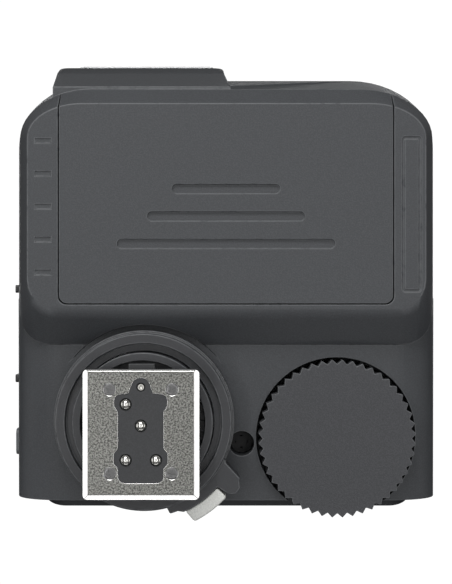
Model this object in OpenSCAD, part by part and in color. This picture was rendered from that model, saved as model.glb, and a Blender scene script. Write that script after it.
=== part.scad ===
// Wireless flash trigger with a locking shoe foot, a battery bay for two cells and a thumb dial.
// X points to the user's right, Y towards the lens and Z up. Sizes are in millimetres.
// The origin is on the underside of the foot, on the axis of its centre contact.

/* [Case] */
// Width of the case
body_w = 72; // [71:0.5:74]
// How far the middle of the case lies to the left of the foot's axis
body_shift = 13.5; // [13.2:0.1:13.8]
// Front of the case, ahead of the foot's axis
body_front = 58.7; // [58.5:0.1:60]
// Rear edge of the lower case, behind the foot's axis
body_rear = 14.2; // [14:0.1:14.6]
// Height of the battery bay's underside
bay_z = 7; // [6.8:0.1:7.2]
// Height of the seam between the lower and the upper case
split_z = 20; // [19.8:0.1:20.4]
// Height of the roof
roof_z = 45; // [44.6:0.2:46]
// Wall thickness of the mouldings
wall = 1.8; // [1.6:0.1:2]
// Lean of the control panel from upright, in degrees
panel_lean = 25; // [24:0.5:26]

/* [Battery bay] */
// Width of the battery door
door_w = 54.8; // [54:0.2:55.4]
// Rear seam of the battery door
door_rear = 19.3; // [19.1:0.1:19.6]
// Radius of one cell
cell_r = 7.1; // [6.9:0.05:7.15]
// Length of one cell without its button
cell_l = 49.2; // [48.5:0.1:49.5]

/* [Foot] */
// Width of the foot plate across the shoe
foot_w = 18.6; // [18.3:0.1:18.7]
// Length of the foot plate along the shoe
foot_l = 20.8; // [20:0.1:20.9]
// Thickness of the foot plate
foot_t = 2; // [1.8:0.1:2]
// Width of the neck between the foot plate and the case
neck_w = 12.2; // [12:0.1:12.4]
// Radius of a contact pin
pin_r = 0.92; // [0.85:0.01:0.95]
// Outer radius of the lock ring
ring_r = 14.4; // [14.2:0.1:14.5]

/* [Dial] */
// Radius over the dial's teeth
dial_r = 13.25; // [12.8:0.05:13.3]
// Number of teeth on the dial
dial_teeth = 48; // [36:4:60]
// Height of the dial's lower face
dial_z = 11; // [10.9:0.1:11.2]

/* [Top shoe] */
// Clear width between the shoe's side walls
shoe_w = 18.8; // [18.7:0.05:19]
// Clear height under the shoe's lips
shoe_h = 2.2; // [2.1:0.05:2.3]

/* [Hidden] */
$fn = 64;
left_x = -body_shift - body_w / 2;
right_x = -body_shift + body_w / 2;
mid_x = -body_shift;
step_z = 12;
rear_z = 14.5;
gap = 0.15;
eps = 0.01;
slab_h = 0.2;
door_x0 = mid_x - door_w / 2;
door_x1 = mid_x + door_w / 2;
door_top = 10.2;
foot_front = 8.95;
foot_rear = foot_front - foot_l;
neck_front = 8.2;
neck_rear = -9;
collar_r = 11.4;
collar_in = 10.1;
sleeve_r = 12.3;
clip_r = 13.2;
lever_r = 16.2;
dial_pos = [-32.1, -3.3];
dial_top = 17.9;
dial_pocket = 13.5;
tooth_h = 0.75;
well_pos = [-16.15, -4.4];
well_r = 2.1;
ring_pocket = 15.8;
cell_z = 16.2;
cell_y = [29.1, 44.5];
tray_top = 25.2;
board_z = 26.4;
board_t = 1.6;
lamp_x0 = -13;
lamp_x1 = 15.9;
lamp_z0 = 21.8;
lamp_z1 = 36;
lamp_y = 60.5;
chin_z = 10.6;
chin_y = 59.2;
lens_x0 = -11.4;
lens_x1 = 12.7;
lens_z0 = 24.7;
lens_z1 = 33.8;
side_z = 26;
port_z = 29.6;
usb_y = 31;
jack_y = 15;
jack_r = 1.3;
jack_l = 11;
panel_t = 2.4;
panel_x0 = -45.9;
panel_x1 = 18.5;
panel_h = 26;
panel_y = -body_rear + 0.1;
panel_z = split_z + 0.3;
screen_x0 = -34.7;
screen_x1 = 7.3;
screen_y0 = 9.6;
screen_y1 = 24;
key_w = 7.4;
key_h = 3.2;
key_y = 5.2;
key_x = [-29.3, -18.9, -8.5, 1.9];
round_r = 2.6;
menu_pos = [12.9, 20.8];
mode_pos = [12.9, 13.4];
set_pos = [12.9, 6];
group_pos = [-40.3, 13.4];
channel_pos = [-40.3, 6];
light_pos = [-40.3, 20.8];
platform_z = 46.2;
shoe_y0 = -1.5;
shoe_y1 = 19.5;
shoe_floor = 47;
shoe_wall = 1.3;
shoe_lip = 1.3;
shoe_mouth = 12.7;
pin_pos = [[0, 0], [2.4, 3.4], [2.4, -5.45], [-2.4, -5.45]];
lock_pos = [0, 6.1];
screw_pos = [[4.95, 5.75], [-4.95, 5.75], [4.9, -7.55], [-4.9, -7.55]];
post_pos = [[14.8, -7.5], [15, 10], [-13.5, 11.5], [-12.5, -9.5]];
tray_screws = [[-36.5, 36.8], [mid_x, 36.8], [9.5, 36.8]];

// ---------- outlines ----------

// Points along an ellipse's arc
function bow(c, a, b, from, to, n = 12) =
    [for (i = [0:n]) let (t = from + (to - from) * i / n) c + [a * cos(t), b * sin(t)]];

// Case outline seen from above: wide elliptical corners in front, small round ones behind
function plan(x0, x1, y0, y1, a, b, r) = concat(
    bow([x1 - a, y1 - b], a, b, 0, 90),
    bow([x0 + a, y1 - b], a, b, 90, 180),
    bow([x0 + r, y0 + r], r, r, 180, 270, 6),
    bow([x1 - r, y0 + r], r, r, 270, 360, 6)
);

// Cross section of the rear half, with its lower edges rounded
function rear_section(g, z) = concat(
    bow([left_x + g + 8.5, split_z + eps], 8.5, split_z - z, 180, 270),
    bow([right_x - g - 8.5, split_z + eps], 8.5, split_z - z, 270, 360)
);

// Right half of the foot's insulator, from its front to its rear
function insert_half() = concat(
    bow([lock_pos.x, lock_pos.y], 1.5, 1.5, 90, 10, 6),
    [[1.9, 5.15]],
    bow([3.2, 4], 1, 1, 90, 0, 4),
    [[4.2, 3.2], [3.6, 2.2], [3.6, -3.6], [4.25, -4.4], [4.25, -6], [3.6, -6.8]],
    bow([2.5, -8], 1.1, 1.1, 0, -90, 4)
);

function box_outline(x0, x1, y0, y1) = [[x0, y0], [x1, y0], [x1, y1], [x0, y1]];

function mirrored(p) = [for (i = [len(p) - 1:-1:0]) [-p[i].x, p[i].y]];

// ---------- shared shapes ----------

module slab(z, outline) {
    translate([0, 0, z])
        linear_extrude(slab_h)
            polygon(outline);
}

module rounded(x0, x1, y0, y1, r) {
    translate([x0 + r, y0])
        square([x1 - x0 - 2 * r, y1 - y0]);
    translate([x0, y0 + r])
        square([x1 - x0, y1 - y0 - 2 * r]);
    for (x = [x0 + r, x1 - r], y = [y0 + r, y1 - r])
        translate([x, y])
            circle(r);
}

module rod(p, r, z0, z1) {
    translate([p.x, p.y, z0])
        cylinder(r = r, h = z1 - z0);
}

// Extrude a Y-Z outline along X
module across(x0, x1) {
    translate([x0, 0, 0])
        rotate([90, 0, 90])
            linear_extrude(x1 - x0)
                children();
}

// Extrude an X-Z outline along Y, from y0 towards the front
module along(y0, y1) {
    translate([0, y1, 0])
        rotate([90, 0, 0])
            linear_extrude(y1 - y0)
                children();
}

// Put children on the control panel's plane: x across, y up the slope, z outwards
module on_panel() {
    translate([0, panel_y, panel_z])
        rotate([90 - panel_lean, 0, 0])
            children();
}

// ---------- case ----------

// Battery bay half of the lower case, shrunk by g, with a bevelled front, a sloped rear wall and round corners
module bay_solid(g, top) {
    hull() {
        slab(bay_z + g, plan(left_x + 3.2 + g, right_x - 3.4 - g, 18.3, 52.1 - g * 0.6, 9, 5.6, 5));
        slab(bay_z + 1 + g, plan(left_x + 2.8 + g, right_x - 3 - g, 16.7, 45, 9, 5.6, 5));
        slab(bay_z + 3 + g / 2, plan(left_x + 1.7 + g, right_x - 1.8 - g, 19, 54.8 - g, 12, 8, 5));
        slab(step_z, plan(left_x + 1.5 + g, right_x - 1.6 - g, 12.4 + g, 45, 12, 8, 5));
        slab(top - slab_h, plan(left_x + g, right_x - g, 12.4 + g, body_front - 0.8 - g, 14.5, 11.5, 5));
    }
}

// Rear half of the lower case, shrunk by g
module rear_solid(g, top) {
    hull() {
        along(20, 20 + eps)
            polygon(rear_section(g, step_z - 0.7 + g));
        along(g - body_rear, g - body_rear + eps)
            polygon(rear_section(g, rear_z + g));
    }
    translate([left_x + g, g - body_rear, split_z])
        cube([body_w - 2 * g, 36, top - split_z + eps]);
}

module lower_solid(g, top) {
    bay_solid(g, top);
    rear_solid(g, top);
}

// Underside of the lamp's housing, rising forwards from the battery bay
module chin() {
    hull() {
        slab(chin_z, box_outline(lamp_x0 - 1.2, lamp_x1 - 0.5, 50, 55.1));
        slab(split_z - slab_h, box_outline(lamp_x0 - 0.2, lamp_x1, 50, chin_y));
    }
}

module door_opening(g) {
    translate([door_x0 - g, door_rear - g, 0])
        linear_extrude(door_top + g)
            rounded(0, door_w + 2 * g, 0, 60, 1.4);
}

module lower_case() {
    color("#4a4c4f") {
        difference() {
            union() {
                difference() {
                    union() {
                        lower_solid(0, split_z);
                        chin();
                    }
                    lower_solid(wall, split_z + 1);
                }
                intersection() {
                    union() {
                        rod([0, 0], 17.4, 8, 15);
                        rod(dial_pos, dial_pocket + 1.3, 11, 19.8);
                        rod(well_pos, well_r + 1.2, 11, 19.8);
                        for (p = post_pos)
                            rod(p, 2.4, 11, 16.6);
                    }
                    lower_solid(0, split_z);
                }
            }
            door_opening(gap);
            rod([0, 0], ring_pocket, 0, 12.3);
            rod([0, 0], sleeve_r + 0.15, 10, 15.1);
            rod(dial_pos, dial_pocket, 5, 18.3);
            rod(dial_pos, 2.5, 18, 20);
            rod(well_pos, well_r, 8, 18);
            rod(well_pos, 1.1, 17, 20);
            for (p = post_pos)
                rod(p, 0.8, 15.6, 17);
            rod([0, 0], clip_r + 0.3, 15.05, 17);
            translate([-45.5, 21.2, bay_z - 1])
                linear_extrude(1.3)
                    difference() {
                        rounded(0, 3.1, 0, 25.5, 0.5);
                        rounded(0.4, 2.7, 0.4, 25.1, 0.3);
                    }
            for (i = [0:4])
                translate([15.2, 24 + 5.4 * i, bay_z - 1])
                    cube([2.6, 0.8, 1.2]);
        }
    }
}

module door_grip(y, half) {
    translate([mid_x, y, bay_z - 1])
        linear_extrude(1.5)
            rounded(-half, half, -0.77, 0.77, 0.76);
}

module battery_door() {
    color("#4b4d50")
        difference() {
            intersection() {
                bay_solid(0, split_z);
                translate([door_x0, door_rear, 0])
                    linear_extrude(door_top)
                        rounded(0, door_w, 0, 60, 1.4);
            }
            bay_solid(wall - 0.2, split_z + 1);
            door_grip(38.1, 8.85);
            door_grip(33.6, 12.9);
            door_grip(29.1, 17.85);
        }
}

// Upper case, shrunk by g, leaning back at the rear
module upper_solid(g, bottom) {
    intersection() {
        hull() {
            slab(bottom, plan(left_x + g, right_x - g, -20, body_front - 0.8 - g, 14.5, 11.5, 2));
            slab(26, plan(left_x + g, right_x - g, -20, body_front - g, 14.5, 11.5, 2));
            slab(36, plan(left_x + 1 + g, right_x - 1 - g, -20, 57 - g, 16, 13, 2));
            slab(41 - g * 0.6, plan(left_x + 4 + g, right_x - 4 - g, -20, 51.5 - g, 16, 14, 2));
            slab(roof_z - g - slab_h, plan(left_x + 9 + g, right_x - 9 - g, -20, 36.5 - g, 16, 14, 2));
        }
        translate([left_x, panel_y, panel_z])
            rotate([-panel_lean, 0, 0])
                translate([0, g, -10])
                    cube([body_w, 90, 70]);
    }
}

module lamp_box() {
    hull() {
        slab(split_z, box_outline(lamp_x0 - 0.2, lamp_x1, 50, chin_y));
        along(lamp_y - slab_h, lamp_y)
            rounded(lamp_x0, lamp_x1, lamp_z0, lamp_z1, 2);
        along(48, 48 + slab_h)
            rounded(lamp_x0 - 0.6, lamp_x1 + 0.3, lamp_z0, lamp_z1 + 1, 2);
    }
}

module lens_hole(g, y0, y1) {
    along(y0, y1)
        rounded(lens_x0 - g, lens_x1 + g, lens_z0 - g, lens_z1 + g, 1.2 + g);
}

module panel_holes(g, z0, z1) {
    translate([0, 0, z0])
        linear_extrude(z1 - z0) {
            for (x = key_x)
                translate([x, key_y])
                    rounded(-key_w / 2 - g, key_w / 2 + g, -key_h / 2 - g, key_h / 2 + g, 1 + g);
            for (p = [menu_pos, mode_pos, set_pos, group_pos, channel_pos])
                translate(p)
                    circle(round_r + g);
        }
}

module upper_case() {
    color("#3c3e41")
        difference() {
            union() {
                difference() {
                    union() {
                        upper_solid(0, split_z);
                        lamp_box();
                        translate([0, 0, 40])
                            linear_extrude(platform_z - 40)
                                rounded(-12.4, 12.4, -1.9, 22, 2.5);
                    }
                    upper_solid(wall, split_z - 1);
                    lens_hole(0.15, 48, 70);
                }
                for (p = tray_screws)
                    rod(p, 2.6, board_z + board_t + 0.1, p.x == mid_x ? 44 : 41.4);
                rod(well_pos, 2.6, split_z + 0.05, 24);
                translate([well_pos.x - 2, -12.4, split_z + 0.05])
                    cube([4, 8, 1]);
            }
            for (p = tray_screws)
                rod(p, 0.95, 25, 36);
            rod(well_pos, 0.95, 19, 30);
            on_panel()
                translate([0, 0, -2.2])
                    linear_extrude(3.2)
                        rounded(panel_x0 + 2.4, panel_x1 - 2.4, 2, panel_h - 1.4, 2);
            translate([left_x - 1, usb_y, port_z])
                across(0, 4)
                    rounded(-4.65, 4.65, -1.75, 1.75, 1.7);
            translate([left_x - 1, jack_y, port_z])
                rotate([0, 90, 0])
                    cylinder(r = 3.1, h = 5);
            for (y = [21.75, 5.9])
                translate([right_x - 3, y, side_z])
                    across(0, 5)
                        rounded(-4.6, 1.1, -2.5, 2.5, 0.5);
            translate([right_x - 3, -5.3, side_z])
                across(0, 5)
                    rounded(-2.55, 2.55, -3.25, 3.25, 1);
            for (p = [[6.4, 3], [-6.4, 3], [6.4, 15], [-6.4, 15]])
                rod(p, 0.6, 40, 47);
        }
}

module control_panel() {
    color("#2e3033")
        on_panel()
            difference() {
                linear_extrude(panel_t)
                    rounded(panel_x0, panel_x1, 0, panel_h, 4);
                translate([0, 0, -1])
                    linear_extrude(panel_t + 2)
                        rounded(screen_x0, screen_x1, screen_y0, screen_y1, 1);
                translate([0, 0, panel_t - 0.9])
                    linear_extrude(2)
                        rounded(screen_x0 - 1, screen_x1 + 1, screen_y0 - 1, screen_y1 + 1, 1.6);
                panel_holes(0.2, -1, panel_t + 1);
                translate([light_pos.x, light_pos.y, -1])
                    cylinder(r = 0.9, h = 5);
            }
}

module display_window() {
    color("#1b2024", 0.5)
        on_panel()
            translate([0, 0, panel_t - 0.9])
                linear_extrude(0.8)
                    rounded(screen_x0 - 0.9, screen_x1 + 0.9, screen_y0 - 0.9, screen_y1 + 0.9, 1.5);
}

module display_module() {
    color("#8fa39a")
        on_panel()
            translate([0, 0, -3.6]) {
                linear_extrude(3.4)
                    rounded(screen_x0 - 1.4, screen_x1 + 1.4, screen_y0 - 0.8, screen_y1 + 0.4, 0.5);
                translate([0, 0, 3.4])
                    linear_extrude(1)
                        rounded(screen_x0 + 0.6, screen_x1 - 0.6, screen_y0 + 0.6, screen_y1 - 0.6, 0.3);
            }
}

// A cap through the panel, on a flange behind it
module key_cap(w, h, r) {
    translate([0, 0, -0.7])
        linear_extrude(0.6)
            rounded(-w / 2 - 0.6, w / 2 + 0.6, -h / 2 - 0.6, h / 2 + 0.6, r + 0.2);
    translate([0, 0, -0.2])
        linear_extrude(panel_t + 0.9)
            rounded(-w / 2, w / 2, -h / 2, h / 2, r);
}

module function_key(i) {
    color("#63666a")
        on_panel()
            translate([key_x[i], key_y, 0])
                key_cap(key_w, key_h, 1);
}

module round_key(p) {
    color("#63666a")
        on_panel()
            translate([p.x, p.y, 0]) {
                translate([0, 0, -0.7])
                    cylinder(r = round_r + 0.5, h = 0.6);
                translate([0, 0, -0.2])
                    cylinder(r = round_r, h = panel_t + 0.7);
                translate([0, 0, panel_t + 0.5])
                    cylinder(r1 = round_r, r2 = round_r - 0.35, h = 0.35);
            }
}

module status_light() {
    color("#d9dcd4")
        on_panel()
            translate([light_pos.x, light_pos.y, -0.6]) {
                cylinder(r = 1.5, h = 0.6);
                cylinder(r = 0.85, h = panel_t + 0.7);
            }
}

module button_membrane() {
    color("#8b8d90")
        on_panel()
            translate([0, 0, -2.2])
                linear_extrude(0.8) {
                    rounded(-43, 15.6, 2.4, 7.8, 1);
                    rounded(-43, -37.4, 2.4, 17, 1);
                    rounded(10, 15.6, 2.4, 24, 1);
                }
}

// ---------- battery bay ----------

module battery_tray() {
    color("#26282a")
        difference() {
            intersection() {
                translate([0, 0, 10.6])
                    linear_extrude(tray_top - 10.6)
                        rounded(door_x0 - 1.2, door_x1 + 1.2, 20.4, 53, 2);
                bay_solid(wall + 0.1, tray_top + 1);
            }
            translate([0, 0, 5])
                linear_extrude(tray_top - 1.2 - 5)
                    rounded(door_x0 + 0.1, door_x1 - 0.1, 21.6, 51.9, 1.2);
            for (p = tray_screws)
                rod(p, 1.1, 20, 30);
        }
}

// A cell along X: its button end points to the right when turn is 1
module cell(y, turn) {
    translate([mid_x, y, cell_z])
        rotate([0, 90 * turn, 0]) {
            translate([0, 0, -cell_l / 2 + 0.6])
                cylinder(r = cell_r, h = cell_l);
            translate([0, 0, cell_l / 2 + 0.5])
                cylinder(r = 2.7, h = 1.3);
        }
}

module battery_front() {
    color("#b8a24a")
        cell(cell_y[1], 1);
}

module battery_rear() {
    color("#b8a24a")
        cell(cell_y[0], -1);
}

module battery_contacts() {
    color("#c9ccd0")
        for (s = [[1, cell_y[1]], [-1, cell_y[0]], [-1, cell_y[1]], [1, cell_y[0]]])
            translate([mid_x + s[0] * (door_w / 2 - 0.6), s[1], cell_z])
                cube([0.6, 10, 11], center = true);
}

// Turns of a coil spring as a stack of rings along X
module spring_rings(x, y, dir) {
    for (i = [0:4])
        translate([x + dir * 0.42 * i, y, cell_z])
            rotate([0, 90, 0])
                rotate_extrude()
                    translate([4.2 - 0.42 * i, 0])
                        circle(0.2, $fn = 16);
}

module battery_springs() {
    color("#c9ccd0") {
        spring_rings(door_x0 + 1.2, cell_y[1], 1);
        spring_rings(door_x1 - 1.2, cell_y[0], -1);
    }
}

// ---------- shoe foot and its lock ----------

module insert_outline() {
    polygon(concat(insert_half(), mirrored(insert_half())));
}

module foot_plate() {
    color("#c4c5c4")
        difference() {
            intersection() {
                linear_extrude(foot_t)
                    rounded(-foot_w / 2, foot_w / 2, foot_rear, foot_front, 0.8);
                along(foot_rear, foot_front)
                    polygon([
                        [-foot_w / 2 + 0.9, 0], [foot_w / 2 - 0.9, 0], [foot_w / 2, 0.7],
                        [foot_w / 2, foot_t], [-foot_w / 2, foot_t], [-foot_w / 2, 0.7]
                    ]);
                across(-foot_w / 2, foot_w / 2)
                    polygon([
                        [foot_rear + 0.9, 0], [foot_front - 0.3, 0], [foot_front, 0.3],
                        [foot_front, foot_t], [foot_rear, foot_t], [foot_rear, 0.7]
                    ]);
            }
            translate([0, 0, -1])
                linear_extrude(foot_t + 2)
                    insert_outline();
            for (p = screw_pos) {
                rod(p, 0.55, -1, foot_t + 1);
                translate([p.x, p.y, -eps])
                    cylinder(r1 = 1.05, r2 = 0.55, h = 0.6);
            }
        }
}

module foot_insert() {
    color("#38393b")
        difference() {
            translate([0, 0, 0.12])
                linear_extrude(foot_t - 0.12)
                    insert_outline();
            for (p = pin_pos)
                rod(p, pin_r + 0.05, -1, 4);
            rod(lock_pos, 0.7, -1, 4);
        }
}

module neck_outline(g) {
    rounded(-neck_w / 2 - g, neck_w / 2 + g, neck_rear - g, neck_front + g, 2.5 + g);
}

module foot_neck() {
    color("#2b2c2e")
        difference() {
            union() {
                translate([0, 0, foot_t])
                    linear_extrude(16.6 - foot_t)
                        neck_outline(0);
                translate([-2.1, neck_front - 1, foot_t + 0.4])
                    cube([4.2, 2.5, 2]);
            }
            for (p = pin_pos) {
                rod(p, pin_r + 0.05, 0, 4);
                rod(p, 1.4, 3.1, 20);
            }
            rod(lock_pos, 0.7, 0, 20);
            for (p = screw_pos)
                rod(p, 0.5, 0, 6);
        }
}

module foot_screws() {
    color("#a9abad")
        for (p = screw_pos)
            difference() {
                union() {
                    translate([p.x, p.y, 0.05])
                        cylinder(r1 = 1, r2 = 0.48, h = 0.57);
                    rod(p, 0.48, 0.1, 5.8);
                }
                translate([p.x, p.y, 0])
                    for (turn = [0, 90])
                        rotate(turn)
                            translate([-0.6, -0.12, -1])
                                cube([1.2, 0.24, 1.3]);
            }
}

module foot_bracket() {
    color("#9a9c9f")
        difference() {
            translate([0, 0, 16.6])
                linear_extrude(1.2)
                    hull()
                        for (p = post_pos)
                            translate(p)
                                circle(2.2);
            for (p = post_pos)
                rod(p, 1, 16, 19);
            for (p = pin_pos)
                rod(p, 1.1, 16, 19);
            rod(well_pos, well_r + 1.5, 16, 19);
        }
}

// A spring-loaded contact with a domed tip and a shoulder
module contact_pin(p) {
    color("#d8d9da")
        translate([p.x, p.y, 0]) {
            translate([0, 0, 0.45])
                intersection() {
                    sphere(pin_r);
                    translate([0, 0, -1])
                        cube([4, 4, 2], center = true);
                }
            translate([0, 0, 0.4])
                cylinder(r = pin_r, h = 6.4);
            translate([0, 0, 3.2])
                cylinder(r = 1.3, h = 0.6);
        }
}

module contact_springs() {
    color("#b9bbbd")
        for (p = pin_pos, i = [0:5])
            translate([p.x, p.y, 4.7 + 0.7 * i])
                rotate_extrude()
                    translate([1.16, 0])
                        circle(0.13, $fn = 16);
}

module lock_pin() {
    color("#cfd0d1")
        translate([lock_pos.x, lock_pos.y, 0.3]) {
            cylinder(r1 = 0.5, r2 = 0.65, h = 0.3);
            translate([0, 0, 0.3])
                cylinder(r = 0.65, h = 12);
        }
}

module clamp_collar() {
    color("#313235")
        difference() {
            rod([0, 0], collar_r, 4.2, 9.4);
            rod([0, 0], collar_in, 4, 6.8);
            rod([0, 0], collar_in, 8, 10);
            translate([0, 0, 4])
                linear_extrude(8)
                    neck_outline(0.12);
        }
}

// Lever outline around the ring's axis: a finger tab at one end and a low rim along the rest
module lever_outline() {
    polygon(concat(
        bow([0, 0], 13.4, 13.4, 203, 256, 16),
        bow([0, 0], 15.7, 15.7, 254, 249, 2),
        bow([0, 0], lever_r, lever_r, 246, 221.5, 10),
        bow([0, 0], 18.5, 18.5, 220.5, 220, 1),
        bow([0, 0], 19.2, 19.2, 218, 214.5, 3),
        bow([0, 0], 18.4, 18.4, 211.5, 210.5, 1),
        bow([0, 0], 15, 15, 206.5, 205.5, 1)
    ));
}

// Outline of the pale cap along the lever's rim
module cap_outline() {
    polygon(concat(
        bow([0, 0], lever_r, lever_r, 222, 245, 12),
        bow([0, 0], 18.4, 18.4, 243, 222.3, 10)
    ));
}

module lock_ring() {
    color("#2f3032")
        difference() {
            union() {
                rod([0, 0], ring_r, 6, 8);
                rod([0, 0], ring_r + 0.5, 8, 11.4);
                rod([0, 0], sleeve_r, 11.4, 16);
                translate([0, 0, 6.6])
                    linear_extrude(3.9)
                        lever_outline();
            }
            rod([0, 0], collar_r + 0.15, 5, 17);
            rod([0, 0], 12.8, 5, 7.2);
        }
}

module lever_cap() {
    color("#cfcfca")
        translate([0, 0, 6.7])
            linear_extrude(3.6)
                cap_outline();
}

module ring_clip() {
    color("#b9bbbd")
        difference() {
            rod([0, 0], clip_r, 15.2, 15.9);
            rod([0, 0], sleeve_r, 15, 17);
            translate([-1.5, 11, 15])
                cube([3, 4, 2]);
        }
}

// ---------- thumb dial ----------

function toothed(r, n) = [
    for (i = [0:n - 1], k = [0:3])
        let (a = 360 / n * (i + k / 4), rise = tooth_h * [0, 0.55, 1, 0.55][k])
            (r - tooth_h + rise) * [cos(a), sin(a)]
];

module select_dial() {
    color("#343537")
        translate([dial_pos.x, dial_pos.y, 0])
            difference() {
                translate([0, 0, dial_z])
                    linear_extrude(dial_top - dial_z)
                        polygon(toothed(dial_r, dial_teeth));
                translate([0, 0, 13])
                    cylinder(r = 1.5, h = 6);
            }
}

module dial_shaft() {
    color("#b4b6b8")
        rod(dial_pos, 1.5, 13, 25);
}

module dial_encoder() {
    color("#54575a")
        translate([dial_pos.x, dial_pos.y, 0])
            difference() {
                translate([0, 0, split_z + 0.2])
                    linear_extrude(4.2)
                        rounded(-6, 6, -6, 6, 1);
                translate([0, 0, 18])
                    cylinder(r = 1.55, h = 10);
            }
}

// ---------- side controls ----------

module slide_knob(y) {
    translate([0, y, side_z]) {
        across(right_x - 2.5, right_x + 1.3)
            rounded(-0.7, 0.7, -2.2, 2.2, 0.4);
        across(right_x - 3.2, right_x - 2.5)
            rounded(-3.2, 5.6, -3.6, 3.6, 0.5);
    }
}

module power_switch() {
    color("#1f2022")
        slide_knob(5.9);
}

module lamp_switch() {
    color("#1f2022")
        slide_knob(21.75);
}

module test_button() {
    color("#55585b")
        translate([0, -5.3, side_z]) {
            across(right_x - 2.4, right_x + 1.05)
                rounded(-2.3, 2.3, -3, 3, 0.9);
            across(right_x - 3.1, right_x - 2.4)
                rounded(-2.7, 2.9, -3.5, 3.4, 1);
        }
}

// ---------- electronics ----------

module main_board() {
    color("#1f5a3a")
        difference() {
            translate([0, 0, board_z])
                linear_extrude(board_t)
                    rounded(left_x + 3, right_x - 5, -4, 50, 4);
            rod(well_pos, 3.2, 20, 30);
            for (p = tray_screws)
                rod(p, 1.2, 20, 30);
        }
}

module board_parts() {
    color("#2a2b2d")
        translate([0, 0, board_z + board_t]) {
            translate([-30, 20, 0])
                cube([9, 9, 1.2]);
            translate([-4, 24, 0])
                cube([7, 7, 1]);
            translate([-24, 6, 0])
                cube([6, 4.4, 1.5]);
            for (i = [0:4])
                translate([-6 + 3.4 * i, 12, 0])
                    cube([1.8, 1, 0.9]);
        }
}

module radio_module() {
    color("#b7babd")
        translate([-33.4, 38, board_z + board_t])
            linear_extrude(2.4)
                rounded(0, 15, 0, 9, 0.6);
}

module antenna() {
    color("#c58a4a")
        for (i = [0:5])
            translate([-41 + 1.2 * i, 48, board_z + board_t + 2])
                rotate([0, 90, 0])
                    rotate_extrude()
                        translate([1.6, 0])
                            circle(0.3, $fn = 16);
}

module usb_socket() {
    color("#c3c5c7")
        translate([left_x + 0.4, usb_y, port_z]) {
            difference() {
                across(0, 7.4)
                    rounded(-4.47, 4.47, -1.58, 1.58, 1.5);
                across(-1, 6.6)
                    rounded(-4.17, 4.17, -1.28, 1.28, 1.2);
            }
            across(1, 7)
                rounded(-3.35, 3.35, -0.35, 0.35, 0.2);
        }
}

module sync_jack() {
    color("#8f9193")
        translate([left_x + 0.2, jack_y, port_z])
            rotate([0, 90, 0])
                difference() {
                    union() {
                        cylinder(r = 2.9, h = 2.7);
                        translate([-2.7, -3.4, 2.6])
                            cube([4.2, 6.8, 9.8]);
                    }
                    translate([0, 0, -1])
                        cylinder(r = jack_r, h = jack_l + 1);
                }
}

module beeper() {
    color("#232426")
        translate([-2, 43.5, board_z + board_t])
            difference() {
                cylinder(r = 4.6, h = 3.4);
                translate([0, 0, 2.6])
                    cylinder(r = 0.9, h = 2);
            }
}

module lamp_lens() {
    color("#e9ebe8", 0.7)
        difference() {
            lens_hole(0, 58.2, 61.3);
            lens_hole(-0.9, 57.6, 60);
        }
}

module lamp_led() {
    color("#c8402c")
        translate([0.6, 50.2, 29.2])
            rotate([-90, 0, 0]) {
                cylinder(r = 3, h = 1.2);
                cylinder(r = 2.5, h = 5.5);
                translate([0, 0, 5.5])
                    sphere(2.5);
            }
}

module case_screw(p, z, l) {
    translate([p.x, p.y, z]) {
        difference() {
            cylinder(r = 1.8, h = 1.3);
            for (turn = [0, 90])
                rotate(turn)
                    translate([-1.1, -0.22, -1])
                        cube([2.2, 0.44, 1.7]);
        }
        cylinder(r = 0.92, h = l);
    }
}

module case_screws() {
    color("#8d8f92") {
        for (p = tray_screws)
            case_screw(p, 22.6, 11);
        case_screw(well_pos, 16.7, 6.8);
    }
}

// ---------- top accessory shoe ----------

module shoe_rails() {
    color("#b3b5b7")
        difference() {
            translate([0, 0, shoe_floor - 0.8])
                linear_extrude(shoe_h + shoe_lip + 0.8)
                    rounded(-shoe_w / 2 - shoe_wall, shoe_w / 2 + shoe_wall, shoe_y0, shoe_y1, 1);
            translate([-shoe_w / 2, shoe_y0 - 1, shoe_floor])
                cube([shoe_w, shoe_y1 - shoe_y0 - 0.4, shoe_h]);
            translate([-shoe_mouth / 2, shoe_y0 - 1, shoe_floor])
                cube([shoe_mouth, shoe_y1 - shoe_y0 - 0.4, 9]);
            translate([-5, shoe_y0 + 2, shoe_floor - 2])
                cube([10, 16.4, 5]);
            for (p = [[6.4, 3], [-6.4, 3], [6.4, 15], [-6.4, 15]])
                rod(p, 0.7, 40, 49);
        }
}

module shoe_base() {
    color("#242527")
        difference() {
            translate([-4.95, shoe_y0 + 2.05, platform_z])
                cube([9.9, 16.3, 0.75]);
            rod([0, 8.5], 1.9, 40, 50);
            for (p = [[2.4, 12], [2.4, 3.1], [-2.4, 3.1]])
                rod(p, 1, 40, 50);
        }
}

module shoe_contacts() {
    color("#d2b25a") {
        rod([0, 8.5], 1.85, platform_z + eps, shoe_floor);
        for (p = [[2.4, 12], [2.4, 3.1], [-2.4, 3.1]])
            rod(p, 0.95, platform_z + eps, shoe_floor);
    }
}

module shoe_screws() {
    color("#8d8f92")
        for (p = [[6.4, 3], [-6.4, 3], [6.4, 15], [-6.4, 15]]) {
            rod(p, 0.58, 41.5, shoe_floor - 0.3);
            translate([p.x, p.y, shoe_floor - 0.35])
                cylinder(r1 = 0.58, r2 = 0.69, h = 0.3);
        }
}

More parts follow.
